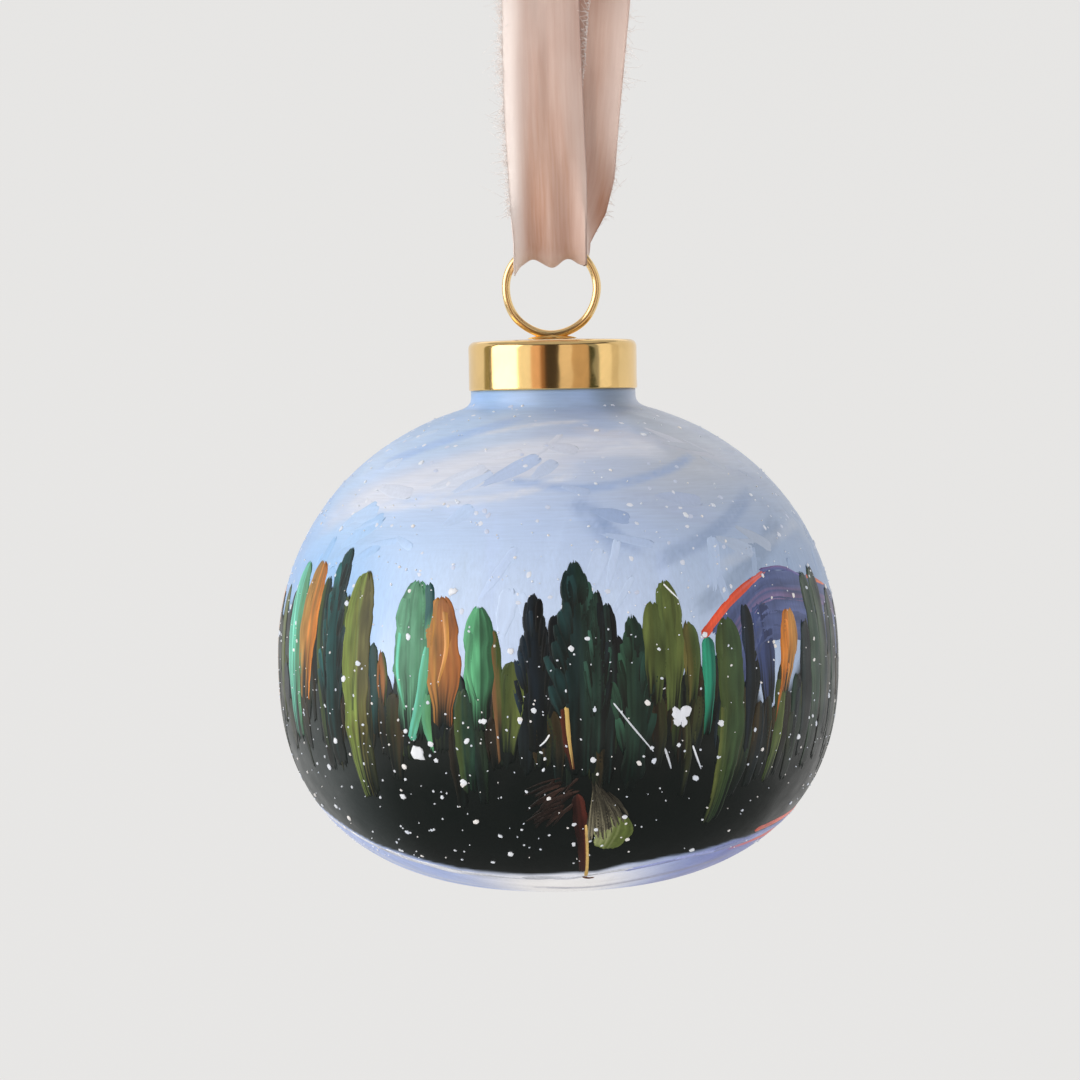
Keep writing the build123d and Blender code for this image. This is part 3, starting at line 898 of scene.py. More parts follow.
def snowfall(relief):
    rng = relief.rng
    for _ in range(1500):
        azimuth = rng.uniform(-180, 180)
        height = rng.uniform(-27, 24) if rng.uniform() < 0.86 else rng.uniform(16, 33)
        if height > 12 and rng.uniform() < 0.45:
            continue
        size = min(0.07 + rng.exponential(0.085), 0.42)
        shade = ((236, 240, 248), (226, 232, 244), (244, 240, 238))[rng.integers(3)]
        relief.speck(azimuth, height, size, shade, rng.uniform(1.0, 1.35), rng.uniform(0, 180), lift=0.15)
    for _ in range(90):
        relief.speck(
            rng.normal(-30, 20), rng.uniform(-27, -4), 0.09 + min(rng.exponential(0.06), 0.3),
            (234, 237, 244), rng.uniform(1.0, 1.3), rng.uniform(0, 180), lift=0.14,
        )
    big = (((-30, -11.6), 0.95), (
        (-26.6, -10.4), 0.42,
    ), ((-32, -8.8), 0.34), ((-20.5, -15.4), 0.5), ((-15, -7.4), 0.4), ((-52, -10.6), 0.42),
           ((-47.6, -2.3), 0.45), ((-9.4, 1.6), 0.42), ((-21.6, 9.2), 0.55), ((2.4, 1.8), 0.4),
           ((33.4, -8.6), 0.5), ((6.4, -12.6), 0.4),
           ((-13.6, -25.4), 0.45), ((-36, -17.6), 0.42), ((14, -20.4), 0.38), ((29.8, 3.0), 0.4),
           ((140, -8), 0.8), ((196, -12), 0.9), ((228, -4), 0.6))
    for (azimuth, height), size in big:
        relief.speck(azimuth, height, size, (240, 242, 248), 1.1, rng.uniform(0, 180), lift=0.18)
    for azimuth, height, size in (
        (24.0, -7.3, 0.85), (25.3, -6.7, 0.75), (22.9, -6.6, 0.45), (25.0, -8.2, 0.5), (23.4, -8.0, 0.55),
    ):
        relief.speck(azimuth, height, size, (240, 242, 250), 1.25, rng.uniform(0, 180), lift=0.19)
    flicks = (((10, -5), (14.4, -8.6), (19, -12)), (
        (21, -11.3), (22, -12.8), (23, -14.3),
    ), ((27, -11), (28.4, -12.8), (30, -14.6)),
              ((21.5, 9.9), (23.2, 8.7), (25, 7.5)), ((-2, -9), (-3, -10), (-4.4, -10.8)),
              ((150, -3), (155, -6), (161, -8)), ((210, 2), (207, -1), (203, -3)))
    for places in flicks:
        relief.mark(places, 0.34, (236, 240, 248), None, (222, 228, 240), layer=6, ragged=0.05, thick=0.05)


def sky_marks(relief, canvas):
    """Thin pulls in the sky, a little lighter or darker than the paint they lie on."""
    rng = relief.rng
    for _ in range(150):
        azimuth = rng.uniform(-178, 178)
        height = rng.uniform(-1, 30)
        if height < along(MASS_TOP, azimuth) + 2:
            continue
        row = int(np.argmin(abs(LINE[:, 1] - height)))
        ground = canvas.colour[row, int((azimuth + 180) / 360 * COLUMNS) % COLUMNS]
        screen = on_screen(ground)
        level = rng.uniform(0.985, 1.025)
        reach = rng.uniform(2.0, 4.6)
        tilt = rng.normal(72, 14) if height < 13 else rng.normal(16 if azimuth < 0 else -14, 12)
        dx = math.degrees(reach * math.cos(math.radians(tilt)) / max(radius_at(arc_at(height)), 9))
        dz = min(reach * math.sin(math.radians(tilt)), 31 - height)
        places = (
            (azimuth + dx, height + dz), (azimuth, height),
            (azimuth - dx, max(height - dz, along(MASS_TOP, azimuth) + 1)),
        )
        relief.mark(
            places, rng.uniform(1.0, 2.8), level * screen, None, screen, layer=-0.4, thick=0.006, fade=0.2,
            end=0.4, calm=0.12,
        )


def sky_flakes(relief):
    """Fainter flakes, thinned with water, over the sky."""
    rng = relief.rng
    for _ in range(420):
        shade = ((222, 227, 242), (232, 235, 246), (208, 216, 238))[rng.integers(3)]
        relief.speck(
            rng.uniform(-180, 180), rng.uniform(2, 33), rng.uniform(0.12, 0.4), shade, rng.uniform(1, 1.3),
            rng.uniform(0, 180), lift=0.03,
        )


def ball_mesh(canvas):
    """The hollow ball as one closed skin: painted outside, bare bisque in the bore and inside."""
    low, high = half_ovals(BALL_R - BALL_WALL, BOWL_H - BALL_WALL, CROWN_H - BALL_WALL)
    inner = np.vstack([low, high[high[:, 0] > BORE_R]])
    step = [[SPIGOT_R, NECK_TOP], [SPIGOT_R, SPIGOT_TOP - 0.3], [SPIGOT_R - 0.3, SPIGOT_TOP], [BORE_R, SPIGOT_TOP]]
    rest = np.vstack([step, resample(inner, 16)[::-1]])[:-1]
    line = LINE[1:]
    relief = 0.007 * layered_noise(canvas.points[1:] * (1.1, 1.1, 0.35), 3)
    a = np.radians(canvas.azimuth)
    radial = line[:, :1] + relief * NORMAL[1:, :1]
    height = line[:, 1:] + relief * NORMAL[1:, 1:]
    outside = np.stack([radial * np.sin(a), -radial * np.cos(a), BALL_Z + height], -1)
    hidden = np.stack([rest[:, :1] * np.sin(a), -rest[:, :1] * np.cos(a), BALL_Z + rest[:, 1:] + 0 * a], -1)
    feet = [[0, 0, BALL_Z - BOWL_H], [0, 0, BALL_Z - BOWL_H + BALL_WALL]]
    bisque = np.tile(srgb(226, 220, 210), (len(rest) * COLUMNS, 1))
    colour = np.vstack([canvas.colour[1:].reshape(-1, 3), bisque, canvas.colour[0, :1], bisque[:1]])
    sweep = np.concatenate([canvas.sweep[1:].ravel(), np.zeros(len(bisque) + 2)])
    return sealed("painted_ball", np.vstack([outside, hidden]), feet, colour=colour, layers={"Sweep": sweep})


def build_ball():
    canvas = Canvas()
    paint_sky(canvas)
    paint_forest_floor(canvas)
    ball = ball_mesh(canvas)
    ball.data.materials.append(acrylic("ball_paint", 0.24, True, 0.07))
    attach(ball, "ornament")
    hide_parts("ceramic_ball")
    under = Relief(25)
    mountain(under)
    back_row(under)
    undergrowth(under)
    marks = Relief(5)
    front_wood(marks)
    far_side(marks)
    touches(marks)
    snow_line(marks)
    sky = Relief(14)
    sky_marks(sky, canvas)
    sky_flakes(sky)
    snow = Relief(8)
    snowfall(snow)
    coats = (
        (sky, "sky_marks", 0.05), (under, "first_brush_marks", 0.16), (marks, "top_brush_marks", 0.16),
        (snow, "thrown_snow", 0.08),
    )
    for relief, name, contrast in coats:
        piece = relief.piece(name)
        piece.data.materials.append(acrylic(name + "_paint", 0.24, False, contrast))
        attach(piece, "ornament")


# ---- Cap, ring and solder -----------------------------------------------------------------------------

METAL_COLUMNS = 220


def lathe(name, line, wobble, seed):
    """A closed turned piece from (radius, z) points that start and end on the axis."""
    line = np.array(line, float)
    a = np.linspace(0, 2 * math.pi, METAL_COLUMNS, endpoint=False)[None, :]
    r, z = line[1:-1, :1], line[1:-1, 1:]
    points = np.stack([r * np.sin(a), -r * np.cos(a), z + 0 * a], -1)
    dent = wobble * noise3(points * (0.22, 0.22, 0.5), seed)
    points[..., :2] *= (1 + dent / np.maximum(r, 1))[..., None]
    return sealed(name, points, [[0, 0, line[0, 1]], [0, 0, line[-1, 1]]])


def arc_points(centre, radius, start, end, count):
    t = np.radians(np.linspace(start, end, count))
    return [(centre[0] + radius * math.cos(x), centre[1] + radius * math.sin(x)) for x in t]


def cap_line():
    """Inside roof, inside wall, rolled rim, outside wall, rounded edge and the slightly domed top."""
    rim, top = CAP_LOW[2], CAP_HIGH[2]
    inner = CAP_R - CAP_WALL
    roof = top - CAP_CROWN - CAP_WALL
    wall_z = np.linspace(roof - 0.6, rim + 0.22, 8)
    line = [(0, roof)] + [(x, roof) for x in np.linspace(1, inner - 0.7, 8)]
    line += arc_points((inner - 0.6, roof - 0.6), 0.6, 80, 10, 5) + [(inner, z) for z in wall_z]
    line += arc_points((CAP_R - CAP_WALL / 2, rim + 0.22), CAP_WALL / 2, 180, 360, 9)
    line += [(CAP_R, z) for z in np.linspace(rim + 0.5, top - CAP_CROWN - CAP_EDGE_R, 26)]
    line += arc_points((CAP_R - CAP_EDGE_R, top - CAP_CROWN - CAP_EDGE_R), CAP_EDGE_R, 8, 84, 12)
    edge = CAP_R - CAP_EDGE_R
    return line + [(x, top - CAP_CROWN * (x / edge) ** 2) for x in np.linspace(edge - 0.3, 0, 24)]


def closed_bar(name, path, radii, sides=28):
    """A round bar bent into a closed loop along a path in mm."""
    tangent = np.roll(path, -1, 0) - np.roll(path, 1, 0)
    tangent /= np.linalg.norm(tangent, axis=1)[:, None]
    side = np.cross(tangent, (0, 1, 0))
    side /= np.linalg.norm(side, axis=1)[:, None]
    up = np.cross(side, tangent)
    t = np.linspace(0, 2 * math.pi, sides, endpoint=False)
    ring = np.cos(t)[None, :, None] * side[:, None] + np.sin(t)[None, :, None] * up[:, None]
    points = path[:, None] + radii[:, None, None] * ring
    quads = grid_quads(len(path), sides, True)
    i = np.arange(sides)
    j = (i + 1) % sides
    last = (len(path) - 1) * sides
    quads = np.vstack([quads, np.stack([last + i, last + j, j, i], 1)])
    return make_piece(name, points.reshape(-1, 3), quads[:, ::-1])


def build_ring():
    """The soldered wire ring: not quite round in its bar, as hand-bent wire is."""
    t = np.linspace(0, 2 * math.pi, 240, endpoint=False)
    rng = np.random.default_rng(3)
    waver = sum(rng.normal(0, 0.02) * np.sin(k * t + rng.uniform(0, 6)) for k in (2, 3, 5, 7))
    radius = RING_R + 0.6 * waver
    path = np.stack([radius * np.sin(t), 0.5 * waver, RING_Z + radius * np.cos(t)], 1)
    bar = WIRE_R * (1 - 0.02 + 0.4 * waver)
    return closed_bar("wire_ring", path, bar)


def build_solder():
    """A fillet of solder that runs out along the wire both ways and wets the cap."""
    x = np.linspace(-1, 1, 61)[:, None]
    t = np.linspace(0, 2 * math.pi, 32, endpoint=False)[None, :]
    half, depth = (SOLDER_HIGH[0] - SOLDER_LOW[0]) / 2, (SOLDER_HIGH[1] - SOLDER_LOW[1]) / 2
    floor, height = SOLDER_LOW[2] + 0.05, SOLDER_HIGH[2] - SOLDER_LOW[2] - 0.08
    plan = np.sqrt(np.clip(1 - x**2, 0, 1))
    taper = np.clip(1 - abs(x), 0, 1) ** 0.9
    swell = 1 + 0.06 * np.sin(5 * x + 1) + 0.03 * np.sin(9 * x)
    saddle = 0.62 + 0.38 * x**2
    y = depth * 0.94 * plan * np.cos(t) * swell
    rise = height * (0.25 + 0.75 * saddle) * (0.3 * plan + 0.7 * taper) * np.clip(np.sin(t), 0, 1) ** 0.8
    sunk = 0.12 * plan * np.clip(-np.sin(t), 0, 1)
    z = floor + rise - sunk
    points = np.stack(np.broadcast_arrays(half * 1.12 * x, y, z), -1)[1:-1]
    ends = [[-1.125 * half, 0, floor], [1.125 * half, 0, floor]]
    return sealed("solder_fillet", points, ends, flip=True)


def build_metal():
    gold = (0.95, 0.66, 0.29)
    pieces = (
        (
            lathe("turned_cap", cap_line(), 0.03, 4), "cap", "polished_brass",
            polished_brass("cap_brass", gold, 0.09, 0.5),
        ),
        (build_ring(), "hanging_ring", "brass_wire", polished_brass("wire_brass", (0.98, 0.72, 0.36), 0.2, 0.3)),
        (build_solder(), "ring_solder", "gold_solder", polished_brass("solder_gold", (0.86, 0.58, 0.22), 0.22, 0.6)),
    )
    for piece, node, slot, material in pieces:
        piece.data.materials.append(material)
        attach(piece, "ornament")
        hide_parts(node)
    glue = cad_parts["cap_adhesive"]
    glue.data.materials.clear()
    glue.data.materials.append(bare("cured_epoxy", (0.70, 0.62, 0.42), 0.35, 1.5, 0.02))


# ---- The ribbon: one 25 mm silk strip, folded in three --------------------------------------------------

RIBBON_WIDTH = 25.0
SILK = 0.13
FOLD_GAP = 0.42
ACROSS = 84
LEG_TOP = 3.2
GATHER_HALF = 5.1
WIRE_ALLOWANCE = 0.73
NEAREST_LAYER, LAYER_CLEARANCE = 0.26, 0.14
LOBE_WIDTH = 4.9

FRONT_LEFT = ((-12, -5.9), (-21, -6.0), (-29, -5.9), (-37.4, -5.5), (-42, -5.3), (-46, -5.0))
FRONT_RIGHT = ((-12, 4.5), (-21, 4.7), (-29, 4.9), (-37.4, 5.1), (-42, 5.0), (-46, 4.9))
BACK_LEFT = ((-12, 1.0), (-21, 0.5), (-29, -0.5), (-37.4, -2.5), (-42, -4.0), (-46, -4.9))
BACK_RIGHT = ((-12, 11.6), (-21, 10.6), (-29, 9.7), (-37.4, 8.9), (-42, 7.7), (-44.5, 6.3), (-46, 5.5))


def by_height(table, z):
    """A width read at a height: the table going down, narrowing to the knot above it."""
    heights, values = np.array(table, float)[::-1].T
    width = np.interp(z, heights, values)
    return width + (1.2 - width) * 0.62 * smooth(-13.5, 3.5, z)


def triple_fold(turn_left, turn_right, end):
    """Where each place across the strip lies, 0 left and 1 right, and in which layer, for a strip folded in three."""
    runs = np.array([turn_right, turn_right - turn_left, end - turn_left])
    u = np.linspace(0, runs.sum(), ACROSS)
    x = np.interp(u, np.concatenate([[0], np.cumsum(runs)]), (0, turn_right, turn_left, end))
    layer = np.interp(
        u, (0, runs[0] - 0.05, runs[0] + 0.05, runs[:2].sum() - 0.05, runs[:2].sum() + 0.05, runs.sum()),
        (0, 0, 1, 1, 2, 2),
    )
    return x, layer


def lobes(x):
    """How far the gathered silk stands off below the wire, in mm, over the wire's bar at x mm."""
    return 2.1 + 1.2 * np.cos(math.pi * x / LOBE_WIDTH) ** 2 * (1 + 0.10 * np.sin(1.9 * x)) + 0.012 * x**2


def clear_of_wire(x, layer):
    """The least distance from the swing axis at which silk at x mm misses the ring however far it swings."""
    within = np.clip(x, -GATHER_HALF, GATHER_HALF)
    inside = np.sqrt((RING_R - WIRE_ALLOWANCE) ** 2 - within**2)
    return RING_R - inside + NEAREST_LAYER + LAYER_CLEARANCE * (2 - layer)


def loop_points():
    """The loop as a grid: rows from the knot down the front, under the ring's wire and up the back."""
    front_x, front_layer = triple_fold(0.10, 1.0, 0.58)
    back_x, back_layer = triple_fold(0.08, 0.94, 1.0)
    down = np.linspace(LEG_TOP, SWING_Z, 132)
    turn = np.linspace(0, math.pi, 46)[1:-1]
    rows = []
    for z in down:
        rows.append(leg_row(z, front_x, front_layer, FRONT_LEFT, FRONT_RIGHT, -1))
    for t in turn:
        rows.append(bight_row(t, front_x, front_layer, back_x, back_layer))
    for z in down[::-1]:
        rows.append(leg_row(z, back_x, back_layer, BACK_LEFT, BACK_RIGHT, 1))
    return np.array(rows)


def crumple(x, z, seed):
    p = np.stack(np.broadcast_arrays(x * 0.42, np.full_like(x, z * 0.055), np.zeros_like(x)), -1)
    return noise3(p, seed) + 0.5 * noise3(p * (2.1, 1.6, 1), seed + 1)


def leg_row(z, share, layer, left, right, side):
    low, high = by_height(left, z), by_height(right, z)
    x = low + (high - low) * share
    near = smooth(-30, -46, z)
    stand = 4.6 * smooth(-20, 4, z) + 1.3 + 0.55 * smooth(-12, -34, z)
    soft = 0.36 * crumple(x, z, 3 if side < 0 else 7)
    flat = stand + soft * (1 - 0.6 * near)
    gathered = lobes(np.clip(x, -5, 5))
    out = flat + (gathered - flat) * near - FOLD_GAP * layer * (1 + 0.35 * (1 - near))
    left_curl = 1.7 * np.clip(1 - share / 0.24, 0, 1) ** 2
    right_curl = 0.9 * np.clip(1 - (1 - share) / 0.2, 0, 1) ** 2
    curl = (left_curl + right_curl) * (1 - 0.7 * near)
    out = out + np.maximum(clear_of_wire(x, layer) - out, 0) * smooth(-39, -46, z)
    curl = curl * smooth(-46, -40, z)
    y = side * (out - curl) - 0.4 * smooth(-46, -20, z) * smooth(0, -12, z)
    return np.stack([x, y, np.full_like(x, z)], -1)


def bight_row(t, front_x, front_layer, back_x, back_layer):
    over = smooth(0.25 * math.pi, 0.75 * math.pi, t)
    share = front_x + (back_x - front_x) * over
    layer = front_layer + (back_layer - front_layer) * over
    low = -5.0 + 0.1 * over
    high = 4.9 + 0.6 * smooth(0.72 * math.pi, math.pi, t)
    x = low + (high - low) * share
    radius = lobes(np.clip(x, -5, 5)) - FOLD_GAP * layer
    radius = np.maximum(radius, clear_of_wire(x, layer))
    return np.stack([x, -radius * math.cos(t), SWING_Z - radius * math.sin(t)], -1)


def cloth_piece(name, grid, width, length, fold_shade=None):
    """A silk strip from its middle surface, given thickness and rounded over its borders."""
    rows, columns = grid.shape[:2]
    along_step = np.gradient(grid, axis=0)
    across_step = np.gradient(grid, axis=1)
    normal = np.cross(across_step, along_step)
    normal /= np.maximum(np.linalg.norm(normal, axis=-1), 1e-6)[..., None]
    half = SILK / 2
    front, back = grid + half * normal, grid - half * normal
    count = rows * columns
    quads = grid_quads(rows, columns, False)
    first, last = np.arange(columns), (rows - 1) * columns + np.arange(columns)
    left, right = np.arange(rows) * columns, np.arange(rows) * columns + columns - 1
    rims = []
    for rim, flip in ((first, True), (last, False), (left, False), (right, True)):
        strip = np.stack([rim[:-1], rim[1:], rim[1:] + count, rim[:-1] + count], 1)
        rims.append(strip[:, ::-1] if flip else strip)
    faces = np.vstack([quads[:, ::-1], quads + count] + rims)
    # The fold layer is painted shade: how far each point is darkened where folds and inner faces lie in shade.
    tint = np.zeros((rows, columns)) if fold_shade is None else fold_shade
    border = np.minimum(np.arange(columns), np.arange(columns)[::-1]) * width / columns
    # Lightened near both raw borders: a painted highlight for light on and through the thin edge.
    edge_light = 0.9 * smooth(3.4, 0.3, border)[None, :] + np.zeros((rows, columns))
    layers = {"FoldShade": np.tile(tint.ravel(), 2), "EdgeLight": np.tile(edge_light.ravel(), 2)}
    piece = make_piece(name, np.vstack([front.reshape(-1, 3), back.reshape(-1, 3)]), faces, layers=layers)
    u = np.tile(np.tile(np.linspace(0, width, columns), rows), 2)
    v = np.tile(np.repeat(np.linspace(0, length, rows), columns), 2)
    corners = np.empty(len(piece.data.loops), int)
    piece.data.loops.foreach_get("vertex_index", corners)
    layer = piece.data.uv_layers.new(name="Cloth")
    layer.data.foreach_set("uv", np.stack([u[corners], v[corners]], 1).ravel())
    return piece


def hairs(name, starts, directions, lengths, seed, radius=0.046):
    """Loose threads: thin tapered tubes that leave the cloth and wander."""
    rng = np.random.default_rng(seed)
    points, quads, triangles, count = [], [], [], 0
    sides, steps = 4, 9
    t = np.linspace(0, 1, steps)[:, None]
    ring = np.linspace(0, 2 * math.pi, sides, endpoint=False)
    for start, direction, length in zip(starts, directions, lengths):
        bend = rng.normal(0, 0.30, 3)
        curl = rng.normal(0, 0.22, 3)
        line = start + length * (t * direction + t**2 * bend + 0.35 * np.sin(3.2 * t) * t * curl)
        tangent = np.gradient(line, axis=0)
        tangent /= np.linalg.norm(tangent, axis=1)[:, None]
        side = np.cross(tangent, rng.normal(0, 1, 3))
        side /= np.linalg.norm(side, axis=1)[:, None]
        up = np.cross(side, tangent)
        thick = radius * (1 - 0.6 * t)
        loop = line[
            :, None,
        ] + thick[:, None] * (np.cos(ring)[None, :, None] * side[:, None] + np.sin(ring)[None, :, None] * up[:, None])
        points.append(loop.reshape(-1, 3))
        quads.append(count + grid_quads(steps, sides, True)[:, ::-1])
        last = count + (steps - 1) * sides
        quads.append([[count, count + 1, count + 2, count + 3], [last + 3, last + 2, last + 1, last]])
        count += steps * sides
    piece = make_piece(name, np.vstack(points), np.vstack(quads))
    piece.data.materials.append(silk_thread(name + "_silk"))
    return piece


def edge_threads(grid, column, outward, count, seed):
    """Starts and directions for the threads that a raw edge sheds."""
    rng = np.random.default_rng(seed)
    rows = rng.choice(np.arange(4, len(grid) - 4), size=count)
    starts = grid[rows, column] + rng.normal(0, 0.03, (len(rows), 3))
    directions = outward + rng.normal(0, (0.35, 0.5, 0.75), (len(rows), 3))
    lengths = 0.35 + rng.exponential(0.55, len(rows))
    return starts, directions / np.linalg.norm(directions, axis=1)[:, None], np.minimum(lengths, 3.2)


def build_loop():
    grid = loop_points()
    steps = np.linalg.norm(np.diff(grid, axis=0), axis=-1)
    length = float(np.mean(steps.sum(axis=0)))
    rows = np.arange(len(grid))[:, None]
    # Painted shade on the loop: darker in the valleys of the gather, in a patch low on the middle of the front leg,
    # and from the far side of the bight over the whole back leg.
    valley = np.sin(math.pi * grid[..., 0] / 4.9) ** 2 * smooth(-24, -44, grid[..., 2])
    low = smooth(-12, -36, grid[..., 2]) * np.exp(-(((grid[..., 0] + 0.4) / 2.6) ** 2)) * smooth(
        len(grid) * 0.47, len(grid) * 0.43, rows,
    )
    shade = np.clip(0.45 * smooth(len(grid) * 0.5, len(grid) * 0.62, rows) + 0.6 * valley + 0.75 * low, 0, 1)
    loop = cloth_piece("ribbon_loop", grid, RIBBON_WIDTH, length, shade)
    loop.data.materials.append(silk("loop_silk"))
    inner = int(ACROSS * 0.80)
    shed = [
        edge_threads(grid[:126], 0, np.array((-1.0, -0.2, 0)), 900, 5),
        edge_threads(grid[176:], -1, np.array((1.0, 0.1, 0)), 240, 6), edge_threads(
            grid[228:276], inner, np.array((-0.7, -0.9, 0.3)), 220, 7,
        ),
    ]
    starts, directions, lengths = (np.concatenate(x) for x in zip(*shed))
    fray = hairs("loop_frays", starts, directions, lengths, 9)
    for piece in (loop, fray):
        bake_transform(piece)
    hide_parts("ribbon_front_leg", "ribbon_back_leg", "ribbon_gather")


# ---- The knot and the cut tails -------------------------------------------------------------------------

KNOT_LOW, KNOT_HIGH = corners_mm("ribbon_knot")
KNOT_MID = (KNOT_LOW + KNOT_HIGH) / 2
KNOT_R = (KNOT_HIGH[2] - KNOT_LOW[2]) / 2
KNOT_HALF = (KNOT_HIGH[0] - KNOT_LOW[0]) / 2


def knot_core():
    """The turned-over strands: a barrel along X whose pleats run round it."""
    s = np.linspace(-1, 1, 90)[1:-1, None]
    a = np.linspace(0, 2 * math.pi, 150, endpoint=False)[None, :]
    swell = np.sqrt(1 - 0.92 * abs(s) ** 2.6)
    pleats = 0.22 * np.sin(11 * s + 1.3 * np.sin(a + 0.7)) + 0.12 * np.sin(23 * s + 2 * np.sin(a) + 1)
    crease = 0.28 * noise3(np.stack(np.broadcast_arrays(s * 4, np.sin(a) * 1.4, np.cos(a) * 1.4), -1), 41)
    radius = (KNOT_R - 0.75) * swell + (pleats + crease) * swell
    x = KNOT_MID[0] + KNOT_HALF * 0.97 * s + 0 * a
    points = np.stack([x, KNOT_MID[1] + radius * np.sin(a), KNOT_MID[2] + radius * np.cos(a)], -1)
    ends = [KNOT_MID + (sign * 0.98 * KNOT_HALF, 0, 0) for sign in (-1, 1)]
    # The core, mostly under the wraps, is darkened evenly through the fold layer: painted shade.
    fold_shade = np.full(points[..., 0].size + 2, 0.25)
    core = sealed("knot_core", points, ends, flip=True, layers={"FoldShade": fold_shade})
    give_uv(core, 6.0)
    return core


def give_uv(piece, scale):
    """UVs in mm, wrapped round the X axis, for a piece that isn't a strip."""
    co = np.empty(len(piece.data.vertices) * 3)
    piece.data.vertices.foreach_get("co", co)
    co = co.reshape(-1, 3) / MM - KNOT_MID
    uv = np.stack([co[:, 0] * 2, scale * np.arctan2(co[:, 1], co[:, 2])], 1)
    corners = np.empty(len(piece.data.loops), int)
    piece.data.loops.foreach_get("vertex_index", corners)
    piece.data.uv_layers.new(name="Cloth").data.foreach_set("uv", uv[corners].ravel())


def knot_wrap(name, slant, phase, width, rise, seed):
    """One turn of the strip over the barrel, pleated lengthways and crossing it at a slant."""
    rows, columns = 150, 40
    t = np.linspace(0, 2 * math.pi, rows)[:, None]
    v = np.linspace(-1, 1, columns)[None, :]
    squeeze = 0.66 + 0.34 * np.cos(t + phase) ** 2
    x = slant * np.sin(t + phase) + v * width / 2 * squeeze
    s = np.clip(x / KNOT_HALF, -0.95, 0.95)
    swell = np.sqrt(1 - 0.80 * abs(s) ** 2.6)
    pleat = 0.20 * np.cos(9.4 * v + 0.8 * np.sin(2 * t + seed)) + 0.10 * np.sin(17 * v + t)
    tuck = -0.9 * smooth(0.80, 1.0, abs(v)) - 0.6 * (smooth(0.7, 0, t) + smooth(2 * math.pi - 0.7, 2 * math.pi, t))
    radius = (KNOT_R - 0.62 + rise) * swell + pleat + tuck
    grid = np.stack([KNOT_MID[0] + x + 0 * t, KNOT_MID[1] + radius * np.sin(t), KNOT_MID[2] - radius * np.cos(t)], -1)
    return cloth_piece(name, grid, RIBBON_WIDTH, 2 * math.pi * KNOT_R, np.zeros((rows, columns)))


def tail_grid(side, start, rise, radius, turn, straight, y, seed):
    """A tail that springs out of the knot, arches over and opens out to its cut end."""
    rows, columns = 96, 72
    rng = np.random.default_rng(seed)
    heading = math.radians(rise)
    bend = math.radians(turn)
    arc = radius * bend
    s = np.linspace(-1.5, arc + straight, rows)
    angle = heading - np.clip(s, 0, arc) / radius
    step = np.gradient(s)
    x = start[0] + side * np.concatenate([
        [0], np.cumsum((np.cos(angle) * step)[:-1]),
    ]) - side * 1.5 * math.cos(heading)
    z = start[1] + np.concatenate([[0], np.cumsum((np.sin(angle) * step)[:-1])]) - 1.5 * math.sin(heading)
    t = np.linspace(0, 1, rows)[:, None]
    v = np.linspace(-1, 1, columns)[None, :]
    half = 2.7 + 7.4 * smooth(0.0, 0.85, t) + 0.9 * t
    pleat = (1 - smooth(0.45, 1.35, t)) * 1.9
    ripple = 0.55 * t * np.sin(3.2 * v + 4 * t + seed)
    wave = pleat * np.cos(9.0 * v + 0.6) + ripple + 0.25 * t * np.sin(7.5 * v - 3 * t)
    ragged = 0.3 * rng.normal(0, 1, columns)[None, :] * smooth(0.93, 1, t)
    nx, nz = (side * -np.sin(angle) * -1)[:, None], np.cos(angle)[:, None]
    tx, tz = (side * np.cos(angle))[:, None], np.sin(angle)[:, None]
    gx = x[:, None] + wave * nx * 0.9 + ragged * tx
    gz = z[:, None] + wave * nz * 0.9 + ragged * tz
    gy = y + v * half + 0 * t
    return np.stack([gx, gy, gz], -1)


def build_tail(name, node, seed, **shape):
    grid = tail_grid(seed=seed, **shape)
    length = float(np.linalg.norm(np.diff(grid, axis=0), axis=-1).sum(axis=0).mean())
    tail = cloth_piece(name, grid, RIBBON_WIDTH, length, np.zeros(grid.shape[:2]) + 0.1)
    tail.data.materials.append(silk(name + "_silk"))
    rng = np.random.default_rng(seed + 50)
    columns = rng.choice(np.arange(1, grid.shape[1] - 1), size=150)
    outward = grid[-1, columns] - grid[-8, columns]
    outward /= np.linalg.norm(outward, axis=1)[:, None]
    lengths = 0.5 + rng.exponential(0.8, 150)
    edges = ((0, -1.0), (-1, 1.0))
    side = [edge_threads(grid[20:], column, np.array((0, sign, 0.0)), 90, seed + 7) for column, sign in edges]
    starts = np.vstack([grid[-1, columns]] + [x[0] for x in side])
    directions = np.vstack([outward + rng.normal(0, 0.16, (150, 3))] + [x[1] for x in side])
    lengths = np.concatenate([np.minimum(lengths, 3.0)] + [0.7 * x[2] for x in side])
    fray = hairs(name + "_frays", starts, directions, lengths, seed)
    for piece in (tail, fray):
        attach(piece, "hanger")
    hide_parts(node)


def build_knot():
    core = knot_core()
    wraps = [
        knot_wrap("knot_wrap_lower", 1.6, 0.5, 8.4, 0.15, 1),
        knot_wrap("knot_wrap_upper", -1.9, 2.2, 6.8, 0.50, 4),
    ]
    material = silk("knot_silk")
    for piece in (core, *wraps):
        piece.data.materials.append(material)
        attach(piece, "hanger")
    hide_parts("ribbon_knot")
    build_tail(
        "cut_tail_left", "ribbon_tail_left", 12, side=-1, start=(-3.6, 4.6), rise=38, radius=9, turn=108,
        straight=6.4, y=-1,
    )
    build_tail(
        "cut_tail_right", "ribbon_tail_right", 17, side=1, start=(6.4, 4.6), rise=48, radius=7.5, turn=118,
        straight=8, y=1,
    )


# ---- Camera, light and the pale room --------------------------------------------------------------------

